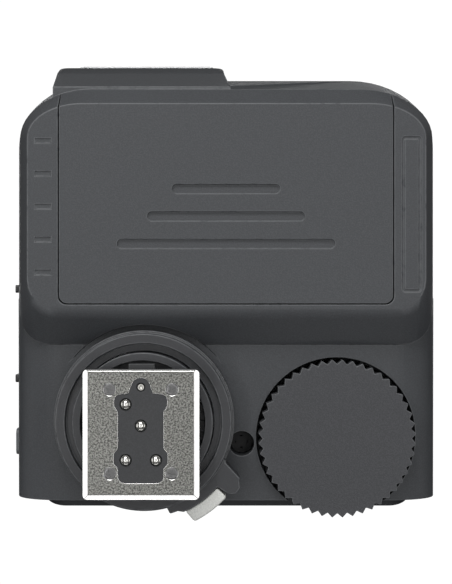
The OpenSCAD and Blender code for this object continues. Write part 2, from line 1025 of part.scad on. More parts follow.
lower_case();
upper_case();
control_panel();
display_window();
display_module();
battery_door();
battery_tray();
battery_front();
battery_rear();
battery_contacts();
battery_springs();
foot_plate();
foot_insert();
foot_neck();
foot_screws();
foot_bracket();
contact_pin(pin_pos[0]);  // contact_pin_centre
contact_pin(pin_pos[1]);  // contact_pin_front
contact_pin(pin_pos[2]);  // contact_pin_rear_right
contact_pin(pin_pos[3]);  // contact_pin_rear_left
contact_springs();
lock_pin();
clamp_collar();
lock_ring();
lever_cap();
ring_clip();
select_dial();
dial_shaft();
dial_encoder();
power_switch();
lamp_switch();
test_button();
function_key(0);  // function_button_1
function_key(1);  // function_button_2
function_key(2);  // function_button_3
function_key(3);  // function_button_4
round_key(menu_pos);  // menu_button
round_key(mode_pos);  // mode_button
round_key(set_pos);  // set_button
round_key(group_pos);  // group_button
round_key(channel_pos);  // channel_button
status_light();
button_membrane();
main_board();
board_parts();
radio_module();
antenna();
usb_socket();
sync_jack();
beeper();
lamp_lens();
lamp_led();
case_screws();
shoe_rails();
shoe_base();
shoe_contacts();
shoe_screws();
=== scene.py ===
"""Looks of the wireless flash trigger.

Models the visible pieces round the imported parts, gives every part and piece its finish, and sets up a pale studio with
the camera under the foot. Sizes in the classes are in millimetres in the part's own frame; Blender works in metres.
"""

import logging
import math
from dataclasses import dataclass
from enum import Enum
from typing import Callable, Dict, List, Sequence, Tuple

import bpy
from mathutils import Matrix, Vector

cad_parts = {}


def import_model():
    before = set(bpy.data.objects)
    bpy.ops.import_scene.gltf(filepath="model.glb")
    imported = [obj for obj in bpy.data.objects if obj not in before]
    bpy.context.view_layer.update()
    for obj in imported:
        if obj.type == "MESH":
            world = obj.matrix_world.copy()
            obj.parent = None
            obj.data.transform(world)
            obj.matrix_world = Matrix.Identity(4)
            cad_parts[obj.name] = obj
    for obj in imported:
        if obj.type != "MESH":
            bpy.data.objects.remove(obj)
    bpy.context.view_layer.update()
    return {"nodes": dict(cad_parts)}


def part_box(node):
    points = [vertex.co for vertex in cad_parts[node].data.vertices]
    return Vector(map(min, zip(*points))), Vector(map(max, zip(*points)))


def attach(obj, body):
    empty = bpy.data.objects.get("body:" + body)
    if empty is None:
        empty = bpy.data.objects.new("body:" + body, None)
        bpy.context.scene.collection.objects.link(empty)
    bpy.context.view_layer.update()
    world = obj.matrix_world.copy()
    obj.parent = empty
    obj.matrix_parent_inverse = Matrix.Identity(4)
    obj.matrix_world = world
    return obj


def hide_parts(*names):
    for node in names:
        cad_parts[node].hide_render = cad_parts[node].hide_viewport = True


MM = 0.001

Point = Tuple[float, float, float]
Test = Callable[[Vector, Vector], bool]
Piece = bpy.types.Object

log = logging.getLogger("flash_trigger")


# ---------- modelling tools ----------


class Cut(Enum):
    """How one solid acts on another."""

    AWAY = "DIFFERENCE"
    JOIN = "UNION"


class Bench:
    """Modelling tools, each for one piece. Lengths go in as millimetres."""

    @staticmethod
    def clear() -> None:
        """Leaves edit mode and deselects every object."""
        if bpy.context.mode != "OBJECT":
            bpy.ops.object.mode_set(mode="OBJECT")
        bpy.ops.object.select_all(action="DESELECT")

    @staticmethod
    def hold(piece: Piece) -> None:
        """Makes the piece the one object that is selected and active."""
        Bench.clear()
        piece.select_set(True)
        bpy.context.view_layer.objects.active = piece

    @staticmethod
    def pick_faces(piece: Piece, test: Test) -> int:
        """Selects faces and goes into edit mode.

        Args:
            piece: the piece to work on.
            test: takes a face's centre in millimetres and its normal.

        Returns:
            How many faces passed.
        """
        Bench.hold(piece)
        mesh = piece.data
        for parts in (mesh.vertices, mesh.edges, mesh.polygons):
            parts.foreach_set("select", [False] * len(parts))
        picked = [face for face in mesh.polygons if test(face.center / MM, face.normal)]
        for face in picked:
            face.select = True
        bpy.context.tool_settings.mesh_select_mode = (False, False, True)
        bpy.ops.object.mode_set(mode="EDIT")
        return len(picked)

    @staticmethod
    def pick_edges(piece: Piece, test: Test) -> int:
        """Selects edges and goes into edit mode.

        Args:
            piece: the piece to work on.
            test: takes an edge's two ends in millimetres.

        Returns:
            How many edges passed.
        """
        Bench.hold(piece)
        mesh = piece.data
        for parts in (mesh.vertices, mesh.edges, mesh.polygons):
            parts.foreach_set("select", [False] * len(parts))
        ends = [[mesh.vertices[i].co / MM for i in edge.vertices] for edge in mesh.edges]
        picked = [edge for edge, (a, b) in zip(mesh.edges, ends) if test(a, b)]
        for edge in picked:
            edge.select = True
            for i in edge.vertices:
                mesh.vertices[i].select = True
        bpy.context.tool_settings.mesh_select_mode = (False, True, False)
        bpy.ops.object.mode_set(mode="EDIT")
        return len(picked)

    @staticmethod
    def pick_points(piece: Piece, test: Callable[[Vector], bool]) -> None:
        """Selects the vertices whose place in millimetres passes the test, in edit mode."""
        Bench.hold(piece)
        mesh = piece.data
        for parts in (mesh.vertices, mesh.edges, mesh.polygons):
            parts.foreach_set("select", [False] * len(parts))
        for vertex in mesh.vertices:
            vertex.select = test(vertex.co / MM)
        bpy.context.tool_settings.mesh_select_mode = (True, False, False)
        bpy.ops.object.mode_set(mode="EDIT")

    @staticmethod
    def block(name: str, low: Point, high: Point) -> Piece:
        """Adds a box between two corners.

        Args:
            name: the piece's name.
            low: lowest corner.
            high: highest corner.

        Returns:
            The new piece, with its place in its mesh.
        """
        Bench.clear()
        centre = [(a + b) / 2 * MM for a, b in zip(low, high)]
        bpy.ops.mesh.primitive_cube_add(size=1, location=centre)
        piece = bpy.context.object
        piece.name = name
        piece.scale = [(b - a) * MM for a, b in zip(low, high)]
        Bench.settle(piece)
        return piece

    @staticmethod
    def turned(name: str, profile: Sequence[Tuple[float, float]], sides: int = 64, bore: bool = False) -> Piece:
        """Turns a shape round the Z axis, ring by ring.

        Args:
            name: the piece's name.
            profile: radius and height of each ring in turn; a bored shape's last ring closes on its first.
            sides: sides of each ring.
            bore: leaves the middle open.

        Returns:
            The new closed piece.
        """
        Bench.clear()
        radius, height = profile[0]
        bpy.ops.mesh.primitive_circle_add(
            vertices=sides,
            radius=radius * MM,
            fill_type="NOTHING" if bore else "NGON",
            location=(0, 0, height * MM),
        )
        piece = bpy.context.object
        piece.name = name
        Bench.settle(piece)
        bpy.context.tool_settings.mesh_select_mode = (False, bore, not bore)
        bpy.ops.object.mode_set(mode="EDIT")
        bpy.ops.mesh.select_all(action="SELECT")
        for next_radius, next_height in profile[1:]:
            bpy.ops.mesh.extrude_region_move(TRANSFORM_OT_translate={"value": (0, 0, (next_height - height) * MM)})
            if next_radius != radius:
                share = next_radius / radius
                bpy.ops.transform.resize(value=(share, share, 1), center_override=(0, 0, next_height * MM))
            radius, height = next_radius, next_height
        bpy.ops.mesh.select_all(action="SELECT")
        if bore:
            bpy.ops.mesh.remove_doubles(threshold=1e-6)
        bpy.ops.mesh.normals_make_consistent(inside=False)
        bpy.ops.object.mode_set(mode="OBJECT")
        return piece

    @staticmethod
    def from_part(name: str, node: Piece) -> Piece:
        """Copies a part's mesh, merges its loose triangles and clears the lines between flat ones.

        Args:
            name: the new piece's name.
            node: the part to copy.

        Returns:
            The merged copy.
        """
        piece = bpy.data.objects.new(name, node.data.copy())
        bpy.context.scene.collection.objects.link(piece)
        Bench.hold(piece)
        bpy.ops.mesh.customdata_custom_splitnormals_clear()
        bpy.ops.object.mode_set(mode="EDIT")
        bpy.ops.mesh.select_all(action="SELECT")
        bpy.ops.mesh.remove_doubles(threshold=2e-6)
        bpy.ops.mesh.dissolve_limited(angle_limit=math.radians(0.4), delimit={"NORMAL"})
        bpy.ops.object.mode_set(mode="OBJECT")
        return piece

    @staticmethod
    def settle(piece: Piece) -> None:
        """Puts the piece's place, turn and scale into its mesh."""
        Bench.hold(piece)
        bpy.ops.object.transform_apply(location=True, rotation=True, scale=True)

    @staticmethod
    def place(piece: Piece, matrix: Matrix) -> None:
        """Moves the piece's mesh by a matrix in metres."""
        piece.matrix_world = matrix
        Bench.settle(piece)

    @staticmethod
    def bevel_edges(piece: Piece, test: Test, width: float, segments: int = 3) -> None:
        """Bevels the edges whose ends pass the test."""
        if Bench.pick_edges(piece, test):
            bpy.ops.mesh.bevel(offset=width * MM, segments=segments, affect="EDGES")
        bpy.ops.object.mode_set(mode="OBJECT")

    @staticmethod
    def sink(piece: Piece, test: Test, rim: float, shift: Vector) -> None:
        """Insets the faces that pass the test and moves them, for a dish or a raised pad."""
        if Bench.pick_faces(piece, test):
            bpy.ops.mesh.inset(thickness=rim * MM)
            bpy.ops.mesh.extrude_region_move(TRANSFORM_OT_translate={"value": shift * MM})
        bpy.ops.object.mode_set(mode="OBJECT")

    @staticmethod
    def combine(piece: Piece, tool: Piece, how: Cut) -> None:
        """Cuts a tool from the piece or joins it on, then removes the tool."""
        Bench.hold(piece)
        action = piece.modifiers.new("combine", "BOOLEAN")
        action.operation, action.object, action.solver = how.value, tool, "EXACT"
        bpy.ops.object.modifier_apply(modifier=action.name)
        bpy.data.objects.remove(tool)

    @staticmethod
    def soften(piece: Piece, width: float, segments: int = 2, angle: float = 34.0) -> None:
        """Rounds every sharp edge a little and shades the piece smooth.

        Args:
            piece: the piece to finish.
            width: the rounding's width; none leaves the edges as they are.
            segments: segments across the rounding.
            angle: edges sharper than this are rounded, in degrees.
        """
        Bench.hold(piece)
        if width:
            piece.data.materials.clear()
            for _ in range(2):
                piece.data.materials.append(None)
            rounding = piece.modifiers.new("rounding", "BEVEL")
            rounding.width, rounding.segments = width * MM, segments
            rounding.limit_method, rounding.angle_limit = "ANGLE", math.radians(angle)
            rounding.use_clamp_overlap, rounding.loop_slide, rounding.material = False, False, 1
            bpy.ops.object.modifier_apply(modifier=rounding.name)
            Bench.mark_rim(piece)
        bpy.ops.object.shade_smooth_by_angle(angle=math.radians(50))
        weighted = piece.modifiers.new("weighted", "WEIGHTED_NORMAL")
        weighted.keep_sharp = True
        bpy.ops.object.modifier_apply(modifier=weighted.name)

    @staticmethod
    def hold_within(piece: Piece, low: Vector, high: Vector) -> None:
        """Keeps a piece's corners inside a box.

        Args:
            piece: the piece to keep in.
            low: the box's lowest corner.
            high: the box's highest corner.
        """
        for point in piece.data.vertices:
            point.co = [min(max(value, a), b) for value, a, b in zip(point.co, low, high)]

    @staticmethod
    def mark_rim(piece: Piece) -> None:
        """Keeps which faces a rounding made as the mesh's own attribute, for the lighter edges: rubbed wear and a
        painted highlight.
        """
        faces = piece.data.polygons
        rim = piece.data.attributes.new("rim", "FLOAT", "FACE")
        rim.data.foreach_set("value", [float(face.material_index == 1) for face in faces])
        faces.foreach_set("material_index", [0] * len(faces))
        piece.data.materials.clear()

    @staticmethod
    def repeat(piece: Piece, matrices: Sequence[Matrix], name: str) -> Piece:
        """Copies a piece to each matrix and makes one piece of the copies.

        Args:
            piece: the model, which is removed.
            matrices: where each copy goes, in metres.
            name: the joined piece's name.

        Returns:
            The joined piece.
        """
        made = []
        for matrix in matrices:
            copy = bpy.data.objects.new(name, piece.data.copy())
            bpy.context.scene.collection.objects.link(copy)
            Bench.place(copy, matrix)
            made.append(copy)
        bpy.data.objects.remove(piece)
        return Bench.join(made, name)

    @staticmethod
    def join(made: Sequence[Piece], name: str) -> Piece:
        """Joins pieces into the first of them."""
        Bench.clear()
        for piece in made:
            piece.select_set(True)
        bpy.context.view_layer.objects.active = made[0]
        if len(made) > 1:
            bpy.ops.object.join()
        made[0].name = name
        return made[0]


def shift(x: float = 0.0, y: float = 0.0, z: float = 0.0) -> Matrix:
    """A move in millimetres as a matrix in metres."""
    return Matrix.Translation(Vector((x, y, z)) * MM)


def turn(degrees: float, axis: str) -> Matrix:
    """A turn about one axis as a matrix."""
    return Matrix.Rotation(math.radians(degrees), 4, axis)


# ---------- finishes ----------


def linear(colour: Tuple[int, int, int]) -> Tuple[float, float, float, float]:
    """Turns a display colour, 0 to 255, into the linear one that a shader takes."""
    parts = [c / 255 for c in colour]
    parts = [c / 12.92 if c <= 0.04045 else ((c + 0.055) / 1.055) ** 2.4 for c in parts]
    return (parts[0], parts[1], parts[2], 1.0)


class Effects:
    """Shader node groups that the finishes share. Each is built once."""

    @staticmethod
    def group(name: str, inputs: Dict[str, Tuple[str, object]], outputs: Dict[str, str]) -> bpy.types.NodeTree:
        """Makes an empty group with named sockets.

        Args:
            name: the group's name.
            inputs: socket type and starting value by name.
            outputs: socket type by name.

        Returns:
            The new node group, with its two end nodes.
        """
        tree = bpy.data.node_groups.new(name, "ShaderNodeTree")
        for label, (kind, value) in inputs.items():
            socket = tree.interface.new_socket(name=label, in_out="INPUT", socket_type=kind)
            if value is not None:
                socket.default_value = value
        for label, kind in outputs.items():
            tree.interface.new_socket(name=label, in_out="OUTPUT", socket_type=kind)
        tree.nodes.new("NodeGroupInput").name = "In"
        tree.nodes.new("NodeGroupOutput").name = "Out"
        return tree

    @staticmethod
    def maths(tree: bpy.types.NodeTree, kind: str, a: object, b: object) -> bpy.types.NodeSocket:
        """Adds a Math node.

        Args:
            tree: the tree it goes in.
            kind: the operation.
            a: a socket or a number.
            b: a socket or a number.

        Returns:
            The result's socket.
        """
        node = tree.nodes.new("ShaderNodeMath")
        node.operation = kind
        for place, value in zip(node.inputs, (a, b)):
            if isinstance(value, bpy.types.NodeSocket):
                tree.links.new(value, place)
            else:
                place.default_value = value
        return node.outputs[0]

    @staticmethod
    def noise(tree: bpy.types.NodeTree, vector: object, scale: object, detail: float, rough: float) -> object:
        """Adds a noise whose scale is a socket or a number, and returns its value's socket."""
        node = tree.nodes.new("ShaderNodeTexNoise")
        node.inputs["Detail"].default_value = detail
        node.inputs["Roughness"].default_value = rough
        if isinstance(scale, bpy.types.NodeSocket):
            tree.links.new(scale, node.inputs["Scale"])
        else:
            node.inputs["Scale"].default_value = scale
        tree.links.new(vector, node.inputs["Vector"])
        return node.outputs["Fac"]

    @staticmethod
    def ramp(tree: bpy.types.NodeTree, value: object, low: float, high: float) -> object:
        """Stretches a value from low..high to 0..1 with a smooth step and returns its socket."""
        node = tree.nodes.new("ShaderNodeMapRange")
        node.interpolation_type = "SMOOTHSTEP"
        node.inputs["From Min"].default_value = low
        node.inputs["From Max"].default_value = high
        tree.links.new(value, node.inputs["Value"])
        return node.outputs["Result"]

    @staticmethod
    def moulded_grain() -> bpy.types.NodeTree:
        """Sand texture of a spark-eroded mould: a fine height, a fleck mask and slow shade changes."""
        known = bpy.data.node_groups.get("moulded_grain")
        if known:
            return known
        tree = Effects.group(
            "moulded_grain",
            {"Vector": ("NodeSocketVector", None), "Scale": ("NodeSocketFloat", 4000.0)},
            {"Height": "NodeSocketFloat", "Fleck": "NodeSocketFloat", "Shade": "NodeSocketFloat"},
        )
        start, end = tree.nodes["In"], tree.nodes["Out"]
        vector, scale = start.outputs["Vector"], start.outputs["Scale"]
        coarse = Effects.noise(tree, vector, scale, 2.0, 0.55)
        fine = Effects.noise(tree, vector, Effects.maths(tree, "MULTIPLY", scale, 2.3), 1.0, 0.5)
        height = Effects.maths(
            tree, "ADD", Effects.maths(tree, "MULTIPLY", coarse, 0.65), Effects.maths(tree, "MULTIPLY", fine, 0.35)
        )
        slow = Effects.noise(tree, vector, Effects.maths(tree, "MULTIPLY", scale, 0.02), 3.0, 0.6)
        tree.links.new(height, end.inputs["Height"])
        tree.links.new(Effects.ramp(tree, height, 0.42, 0.62), end.inputs["Fleck"])
        tree.links.new(slow, end.inputs["Shade"])
        return tree

    @staticmethod
    def edge_wear_and_sheen() -> bpy.types.NodeTree:
        """Rubbed edges and a painted edge highlight: a mask on the rounded edges, broken up by a noise."""
        known = bpy.data.node_groups.get("edge_wear_and_sheen")
        if known:
            return known
        tree = Effects.group(
            "edge_wear_and_sheen",
            {"Vector": ("NodeSocketVector", None), "Amount": ("NodeSocketFloat", 0.5)},
            {"Mask": "NodeSocketFloat"},
        )
        start, end = tree.nodes["In"], tree.nodes["Out"]
        rim = tree.nodes.new("ShaderNodeAttribute")
        rim.attribute_name = "rim"
        patches = Effects.ramp(tree, Effects.noise(tree, start.outputs["Vector"], 900.0, 3.0, 0.6), 0.2, 0.55)
        share = Effects.maths(tree, "MULTIPLY", patches, start.outputs["Amount"])
        mask = Effects.maths(tree, "MULTIPLY", rim.outputs["Fac"], share)
        tree.links.new(mask, end.inputs["Mask"])
        return tree

    @staticmethod
    def hairlines() -> bpy.types.NodeTree:
        """Fine parallel brushing along one axis, with a few deeper scratches."""
        known = bpy.data.node_groups.get("hairlines")
        if known:
            return known
        tree = Effects.group(
            "hairlines",
            {"Vector": ("NodeSocketVector", None), "Stretch": ("NodeSocketVector", (600.0, 12000.0, 600.0))},
            {"Height": "NodeSocketFloat", "Scratch": "NodeSocketFloat"},
        )
        start, end = tree.nodes["In"], tree.nodes["Out"]
        drawn = tree.nodes.new("ShaderNodeVectorMath")
        drawn.operation = "MULTIPLY"
        tree.links.new(start.outputs["Vector"], drawn.inputs[0])
        tree.links.new(start.outputs["Stretch"], drawn.inputs[1])
        line = Effects.noise(tree, drawn.outputs["Vector"], 1.0, 2.0, 0.6)
        tree.links.new(line, end.inputs["Height"])
        tree.links.new(Effects.ramp(tree, line, 0.62, 0.72), end.inputs["Scratch"])
        return tree


@dataclass(frozen=True)
class Finish:
    """A moulded or metal surface with grain, shade changes, and lighter rounded edges that are partly rubbed wear and
    partly a painted highlight.

    Colours are display colours, 0 to 255. Grain is the number of grains per metre, and relief how deep they look.
    """

    name: str
    colour: Tuple[int, int, int]
    roughness: float = 0.55
    metallic: float = 0.0
    grain: float = 4200.0
    relief: float = 0.35
    fleck: float = 0.12
    mottle: float = 0.12
    # The edge amount and its pale colour paint the rounded edges lighter: partly rubbed wear, partly a painted edge
    # highlight.
    wear_and_sheen: float = 0.35
    wear_and_sheen_colour: Tuple[int, int, int] = (120, 122, 124)
    coat: float = 0.0
    specular: float = 0.5

    def material(self) -> bpy.types.Material:
        """Returns the finish's material, building it the first time."""
        known = bpy.data.materials.get(self.name)
        if known:
            return known
        made = bpy.data.materials.new(self.name)
        made.use_nodes = True
        tree = made.node_tree
        shader = tree.nodes["Principled BSDF"]
        shader.inputs["Metallic"].default_value = self.metallic
        shader.inputs["Coat Weight"].default_value = self.coat
        shader.inputs["Specular IOR Level"].default_value = self.specular
        where = tree.nodes.new("ShaderNodeTexCoord").outputs["Object"]
        self.paint(tree, shader, where)
        return made

    def paint(self, tree: bpy.types.NodeTree, shader: bpy.types.Node, where: bpy.types.NodeSocket) -> None:
        """Wires colour, roughness and grain into the shader.

        Args:
            tree: the material's nodes.
            shader: its Principled BSDF.
            where: the Object coordinates.
        """
        grain = self.add_group(tree, Effects.moulded_grain(), where, {"Scale": self.grain})
        colour = self.tinted(tree, linear(self.colour), grain)
        # Rounded edges painted lighter: partly rubbed wear, partly a painted edge highlight.
        if self.wear_and_sheen:
            rubbed_and_sheen = self.add_group(tree, Effects.edge_wear_and_sheen(), where, {"Amount": self.wear_and_sheen})
            colour = self.mix(tree, rubbed_and_sheen.outputs["Mask"], colour, linear(self.wear_and_sheen_colour))
        tree.links.new(colour, shader.inputs["Base Color"])
        self.rough_and_bump(tree, shader, grain.outputs["Shade"], grain.outputs["Height"])

    def tinted(self, tree: bpy.types.NodeTree, base: Tuple[float, ...], grain: bpy.types.Node) -> object:
        """Varies a colour by the grain's slow shade and its flecks, and returns the result's socket."""
        dark = tuple(c * (1 - self.mottle) for c in base[:3]) + (1.0,)
        light = tuple(min(1.0, c * (1 + self.mottle)) for c in base[:3]) + (1.0,)
        slow = self.mix(tree, grain.outputs["Shade"], dark, light)
        bright = tuple(min(1.0, c * (1 + 3 * self.fleck) + 0.02 * self.fleck) for c in base[:3]) + (1.0,)
        return self.mix(tree, Effects.maths(tree, "MULTIPLY", grain.outputs["Fleck"], 0.6), slow, bright)

    def rough_and_bump(self, tree: bpy.types.NodeTree, shader: bpy.types.Node, shade: object, height: object) -> None:
        """Drives the roughness from the slow shade and the normal from the grain's height."""
        swing = Effects.maths(tree, "MULTIPLY", Effects.maths(tree, "SUBTRACT", shade, 0.5), 0.16)
        tree.links.new(Effects.maths(tree, "ADD", swing, self.roughness), shader.inputs["Roughness"])
        bump = tree.nodes.new("ShaderNodeBump")
        bump.inputs["Strength"].default_value = self.relief
        bump.inputs["Distance"].default_value = 0.05 * MM
        tree.links.new(height, bump.inputs["Height"])
        tree.links.new(bump.outputs["Normal"], shader.inputs["Normal"])

    @staticmethod
    def add_group(tree: bpy.types.NodeTree, group: bpy.types.NodeTree, where: object, values: Dict) -> bpy.types.Node:
        """Places a shared effect in a material.

        Args:
            tree: the material's nodes.
            group: the effect.
            where: the coordinates it reads.
            values: numbers for its other sockets, by name.

        Returns:
            The group's node.
        """
        node = tree.nodes.new("ShaderNodeGroup")
        node.node_tree = group
        tree.links.new(where, node.inputs["Vector"])
        for label, value in values.items():
            node.inputs[label].default_value = value
        return node

    @staticmethod
    def mix(tree: bpy.types.NodeTree, share: object, low: object, high: object) -> object:
        """Mixes two colours, each a socket or a value, and returns the result's socket."""
        node = tree.nodes.new("ShaderNodeMix")
        node.data_type = "RGBA"
        tree.links.new(share, node.inputs["Factor"])
        for place, value in zip((node.inputs[6], node.inputs[7]), (low, high)):
            if isinstance(value, bpy.types.NodeSocket):
                tree.links.new(value, place)
            else:
                place.default_value = value
        return node.outputs[2]


@dataclass(frozen=True)
class Brushed(Finish):
    """Metal drawn or brushed along one axis."""

    stretch: Point = (600.0, 12000.0, 600.0)

    def paint(self, tree: bpy.types.NodeTree, shader: bpy.types.Node, where: bpy.types.NodeSocket) -> None:
        """Wires the brushing and its scratches into the shader.

        Args:
            tree: the material's nodes.
            shader: its Principled BSDF.
            where: the Object coordinates.
        """
        lines = self.add_group(tree, Effects.hairlines(), where, {"Stretch": self.stretch})
        grain = self.add_group(tree, Effects.moulded_grain(), where, {"Scale": self.grain})
        base = self.tinted(tree, linear(self.colour), grain)
        dull = tuple(c * 0.7 for c in linear(self.colour)[:3]) + (1.0,)
        share = Effects.maths(tree, "MULTIPLY", lines.outputs["Scratch"], 0.5)
        tree.links.new(self.mix(tree, share, base, dull), shader.inputs["Base Color"])
        self.rough_and_bump(tree, shader, lines.outputs["Height"], lines.outputs["Height"])


@dataclass(frozen=True)
class Blasted(Finish):
    """Bead-blasted plate: bright and dark pits close together."""

    def paint(self, tree: bpy.types.NodeTree, shader: bpy.types.Node, where: bpy.types.NodeSocket) -> None:
        """Wires the pits into the shader.

        Args:
            tree: the material's nodes.
            shader: its Principled BSDF.
            where: the Object coordinates.
        """
        grain = self.add_group(tree, Effects.moulded_grain(), where, {"Scale": self.grain})
        base = linear(self.colour)
        pits = Effects.ramp(tree, grain.outputs["Height"], 0.4, 0.6)
        dull = tuple(c * (1 - self.fleck) for c in base[:3]) + (1.0,)
        speckled = self.mix(tree, pits, dull, base)
        cloud = self.mix(tree, grain.outputs["Shade"], (0.86, 0.86, 0.84, 1.0), (1.0, 1.0, 1.0, 1.0))
        both = tree.nodes.new("ShaderNodeMix")
        both.data_type, both.blend_type = "RGBA", "MULTIPLY"
        both.inputs["Factor"].default_value = 1.0
        tree.links.new(speckled, both.inputs[6])
        tree.links.new(cloud, both.inputs[7])
        tree.links.new(both.outputs[2], shader.inputs["Base Color"])
        self.rough_and_bump(tree, shader, grain.outputs["Shade"], grain.outputs["Height"])


@dataclass(frozen=True)
class Clear(Finish):
    """Clear or milky moulding that light goes through."""

    passing: float = 1.0
    ior: float = 1.49

    def paint(self, tree: bpy.types.NodeTree, shader: bpy.types.Node, where: bpy.types.NodeSocket) -> None:
        """Wires a faint haze and fine scratches into the shader.

        Args:
            tree: the material's nodes.
            shader: its Principled BSDF.
            where: the Object coordinates.
        """
        shader.inputs["Transmission Weight"].default_value = self.passing
        shader.inputs["IOR"].default_value = self.ior
        grain = self.add_group(tree, Effects.moulded_grain(), where, {"Scale": self.grain})
        tree.links.new(self.tinted(tree, linear(self.colour), grain), shader.inputs["Base Color"])
        self.rough_and_bump(tree, shader, grain.outputs["Shade"], grain.outputs["Height"])


@dataclass(frozen=True)
class Banded(Finish):
    """A cell's jacket: a main colour and a second one from a given place along X."""

    band_colour: Tuple[int, int, int] = (34, 36, 38)
    band_x: float = 0.0
    towards_right: bool = True

    def paint(self, tree: bpy.types.NodeTree, shader: bpy.types.Node, where: bpy.types.NodeSocket) -> None:
        """Wires the two colours and the print's fine grain into the shader.

        Args:
            tree: the material's nodes.
            shader: its Principled BSDF.
            where: the Object coordinates.
        """
        grain = self.add_group(tree, Effects.moulded_grain(), where, {"Scale": self.grain})
        parts = tree.nodes.new("ShaderNodeSeparateXYZ")
        tree.links.new(where, parts.inputs[0])
        edge = self.band_x * MM
        low, high = (edge, edge + 0.1 * MM) if self.towards_right else (edge, edge - 0.1 * MM)
        band = Effects.ramp(tree, parts.outputs["X"], low, high)
        main = self.tinted(tree, linear(self.colour), grain)
        tree.links.new(self.mix(tree, band, main, linear(self.band_colour)), shader.inputs["Base Color"])
        self.rough_and_bump(tree, shader, grain.outputs["Shade"], grain.outputs["Height"])


CASE_PLASTIC = Finish("case_plastic_sanded", (58, 60, 63), 0.56, grain=4400.0, relief=0.5, fleck=0.16, wear_and_sheen=0.4)
DOOR_PLASTIC = Finish("door_plastic_sanded", (59, 61, 64), 0.56, grain=4400.0, relief=0.5, fleck=0.16, wear_and_sheen=0.35)
UPPER_PLASTIC = Finish("upper_plastic_sanded", (50, 52, 55), 0.5, grain=4400.0, relief=0.4, fleck=0.12, wear_and_sheen=0.4)
PANEL_PLASTIC = Finish("panel_plastic_satin", (38, 40, 43), 0.38, grain=5200.0, relief=0.25, wear_and_sheen=0.3)
BLACK_PLASTIC = Finish("black_plastic_moulded", (34, 35, 37), 0.5, grain=4800.0, relief=0.3, wear_and_sheen=0.25)
RING_PLASTIC = Finish("ring_plastic_satin", (44, 45, 48), 0.42, grain=5200.0, relief=0.25, wear_and_sheen=0.4)
INSERT_PLASTIC = Finish("insert_plastic_matte", (50, 51, 53), 0.62, grain=4600.0, relief=0.4, fleck=0.14, wear_and_sheen=0.1)
DIAL_RUBBER = Finish("dial_rubber_textured", (56, 57, 60), 0.62, grain=4200.0, relief=0.6, fleck=0.2, wear_and_sheen=0.5)
FOOT_BLAST = Blasted("foot_steel_blasted", (160, 160, 156), 0.34, 1.0, 3600.0, 1.0, fleck=0.75, wear_and_sheen=0.0)
FOOT_POLISH = Brushed("foot_steel_polished", (232, 232, 230), 0.16, 1.0, 5000.0, 0.06, wear_and_sheen=0.0)
PIN_NICKEL = Finish("pin_nickel_polished", (214, 213, 208), 0.14, 1.0, 6000.0, 0.05, fleck=0.05, wear_and_sheen=0.0)
SCREW_STEEL = Brushed("screw_steel_zinc", (112, 112, 112), 0.34, 1.0, 5000.0, 0.15, wear_and_sheen=0.0)
# Near-black colour for the case screws: painted shade standing in for the dark of their deep wells.
SCREW_WELL_SHADE = Finish("screw_painted_well_shade", (10, 10, 12), 0.6, 0.2, 5000.0, 0.2, wear_and_sheen=0.0)
SPRING_STEEL = Brushed("spring_steel_drawn", (188, 190, 193), 0.26, 1.0, 5000.0, 0.12, wear_and_sheen=0.0)
LEVER_CAP = Finish("lever_cap_pale", (206, 207, 203), 0.45, grain=4600.0, relief=0.2, wear_and_sheen=0.0)
SWITCH_PLASTIC = Finish("switch_plastic_satin", (30, 31, 33), 0.42, grain=5200.0, relief=0.2, wear_and_sheen=0.4)
TEST_PLASTIC = Finish("test_key_grey", (92, 95, 98), 0.48, grain=5000.0, relief=0.2, wear_and_sheen=0.3)
KEY_RUBBER = Finish("key_rubber_soft", (104, 107, 111), 0.66, grain=5200.0, relief=0.3, wear_and_sheen=0.2)
KEY_MARK = Finish("key_mark_pale", (214, 216, 216), 0.6, grain=6000.0, relief=0.1, wear_and_sheen=0.0)
MEMBRANE = Finish("membrane_silicone", (139, 141, 144), 0.6, grain=3000.0, relief=0.2, wear_and_sheen=0.0)
LCD_FACE = Finish("lcd_face_grey_green", (150, 164, 150), 0.4, grain=9000.0, relief=0.05, mottle=0.05, wear_and_sheen=0.0)
LCD_INK = Finish("lcd_segment_ink", (34, 42, 40), 0.35, grain=9000.0, relief=0.05, wear_and_sheen=0.0)
WINDOW = Clear("window_clear_hard", (236, 240, 240), 0.04, grain=7000.0, relief=0.02, mottle=0.02, wear_and_sheen=0.0)
LENS = Clear("lamp_lens_milky", (226, 228, 230), 0.22, grain=5200.0, relief=0.1, mottle=0.04, wear_and_sheen=0.0, passing=0.75)
LIGHT_PIPE = Clear("light_pipe_milky", (222, 226, 214), 0.3, grain=6000.0, relief=0.1, wear_and_sheen=0.0, passing=0.6)
LAMP_RED = Clear("lamp_epoxy_red", (200, 46, 34), 0.12, grain=4000.0, relief=0.05, wear_and_sheen=0.0, passing=0.55)
BOARD_MASK = Finish("board_solder_mask", (26, 82, 52), 0.3, grain=2600.0, relief=0.25, mottle=0.3, wear_and_sheen=0.0, coat=0.4)
CHIP_EPOXY = Finish("chip_epoxy", (38, 39, 41), 0.55, grain=5200.0, relief=0.3, wear_and_sheen=0.2)
SHIELD_TIN = Brushed("shield_tin", (190, 192, 194), 0.32, 1.0, 4200.0, 0.15, wear_and_sheen=0.0)
GOLD_CONTACT = Finish("contact_gilt", (222, 182, 92), 0.24, 1.0, 5200.0, 0.1, wear_and_sheen=0.0)
COPPER = Brushed("antenna_copper", (206, 132, 92), 0.3, 1.0, 5000.0, 0.12, wear_and_sheen=0.0)
SHOE_METAL = Brushed("shoe_steel_satin", (168, 170, 172), 0.34, 1.0, 4200.0, 0.2, wear_and_sheen=0.0)
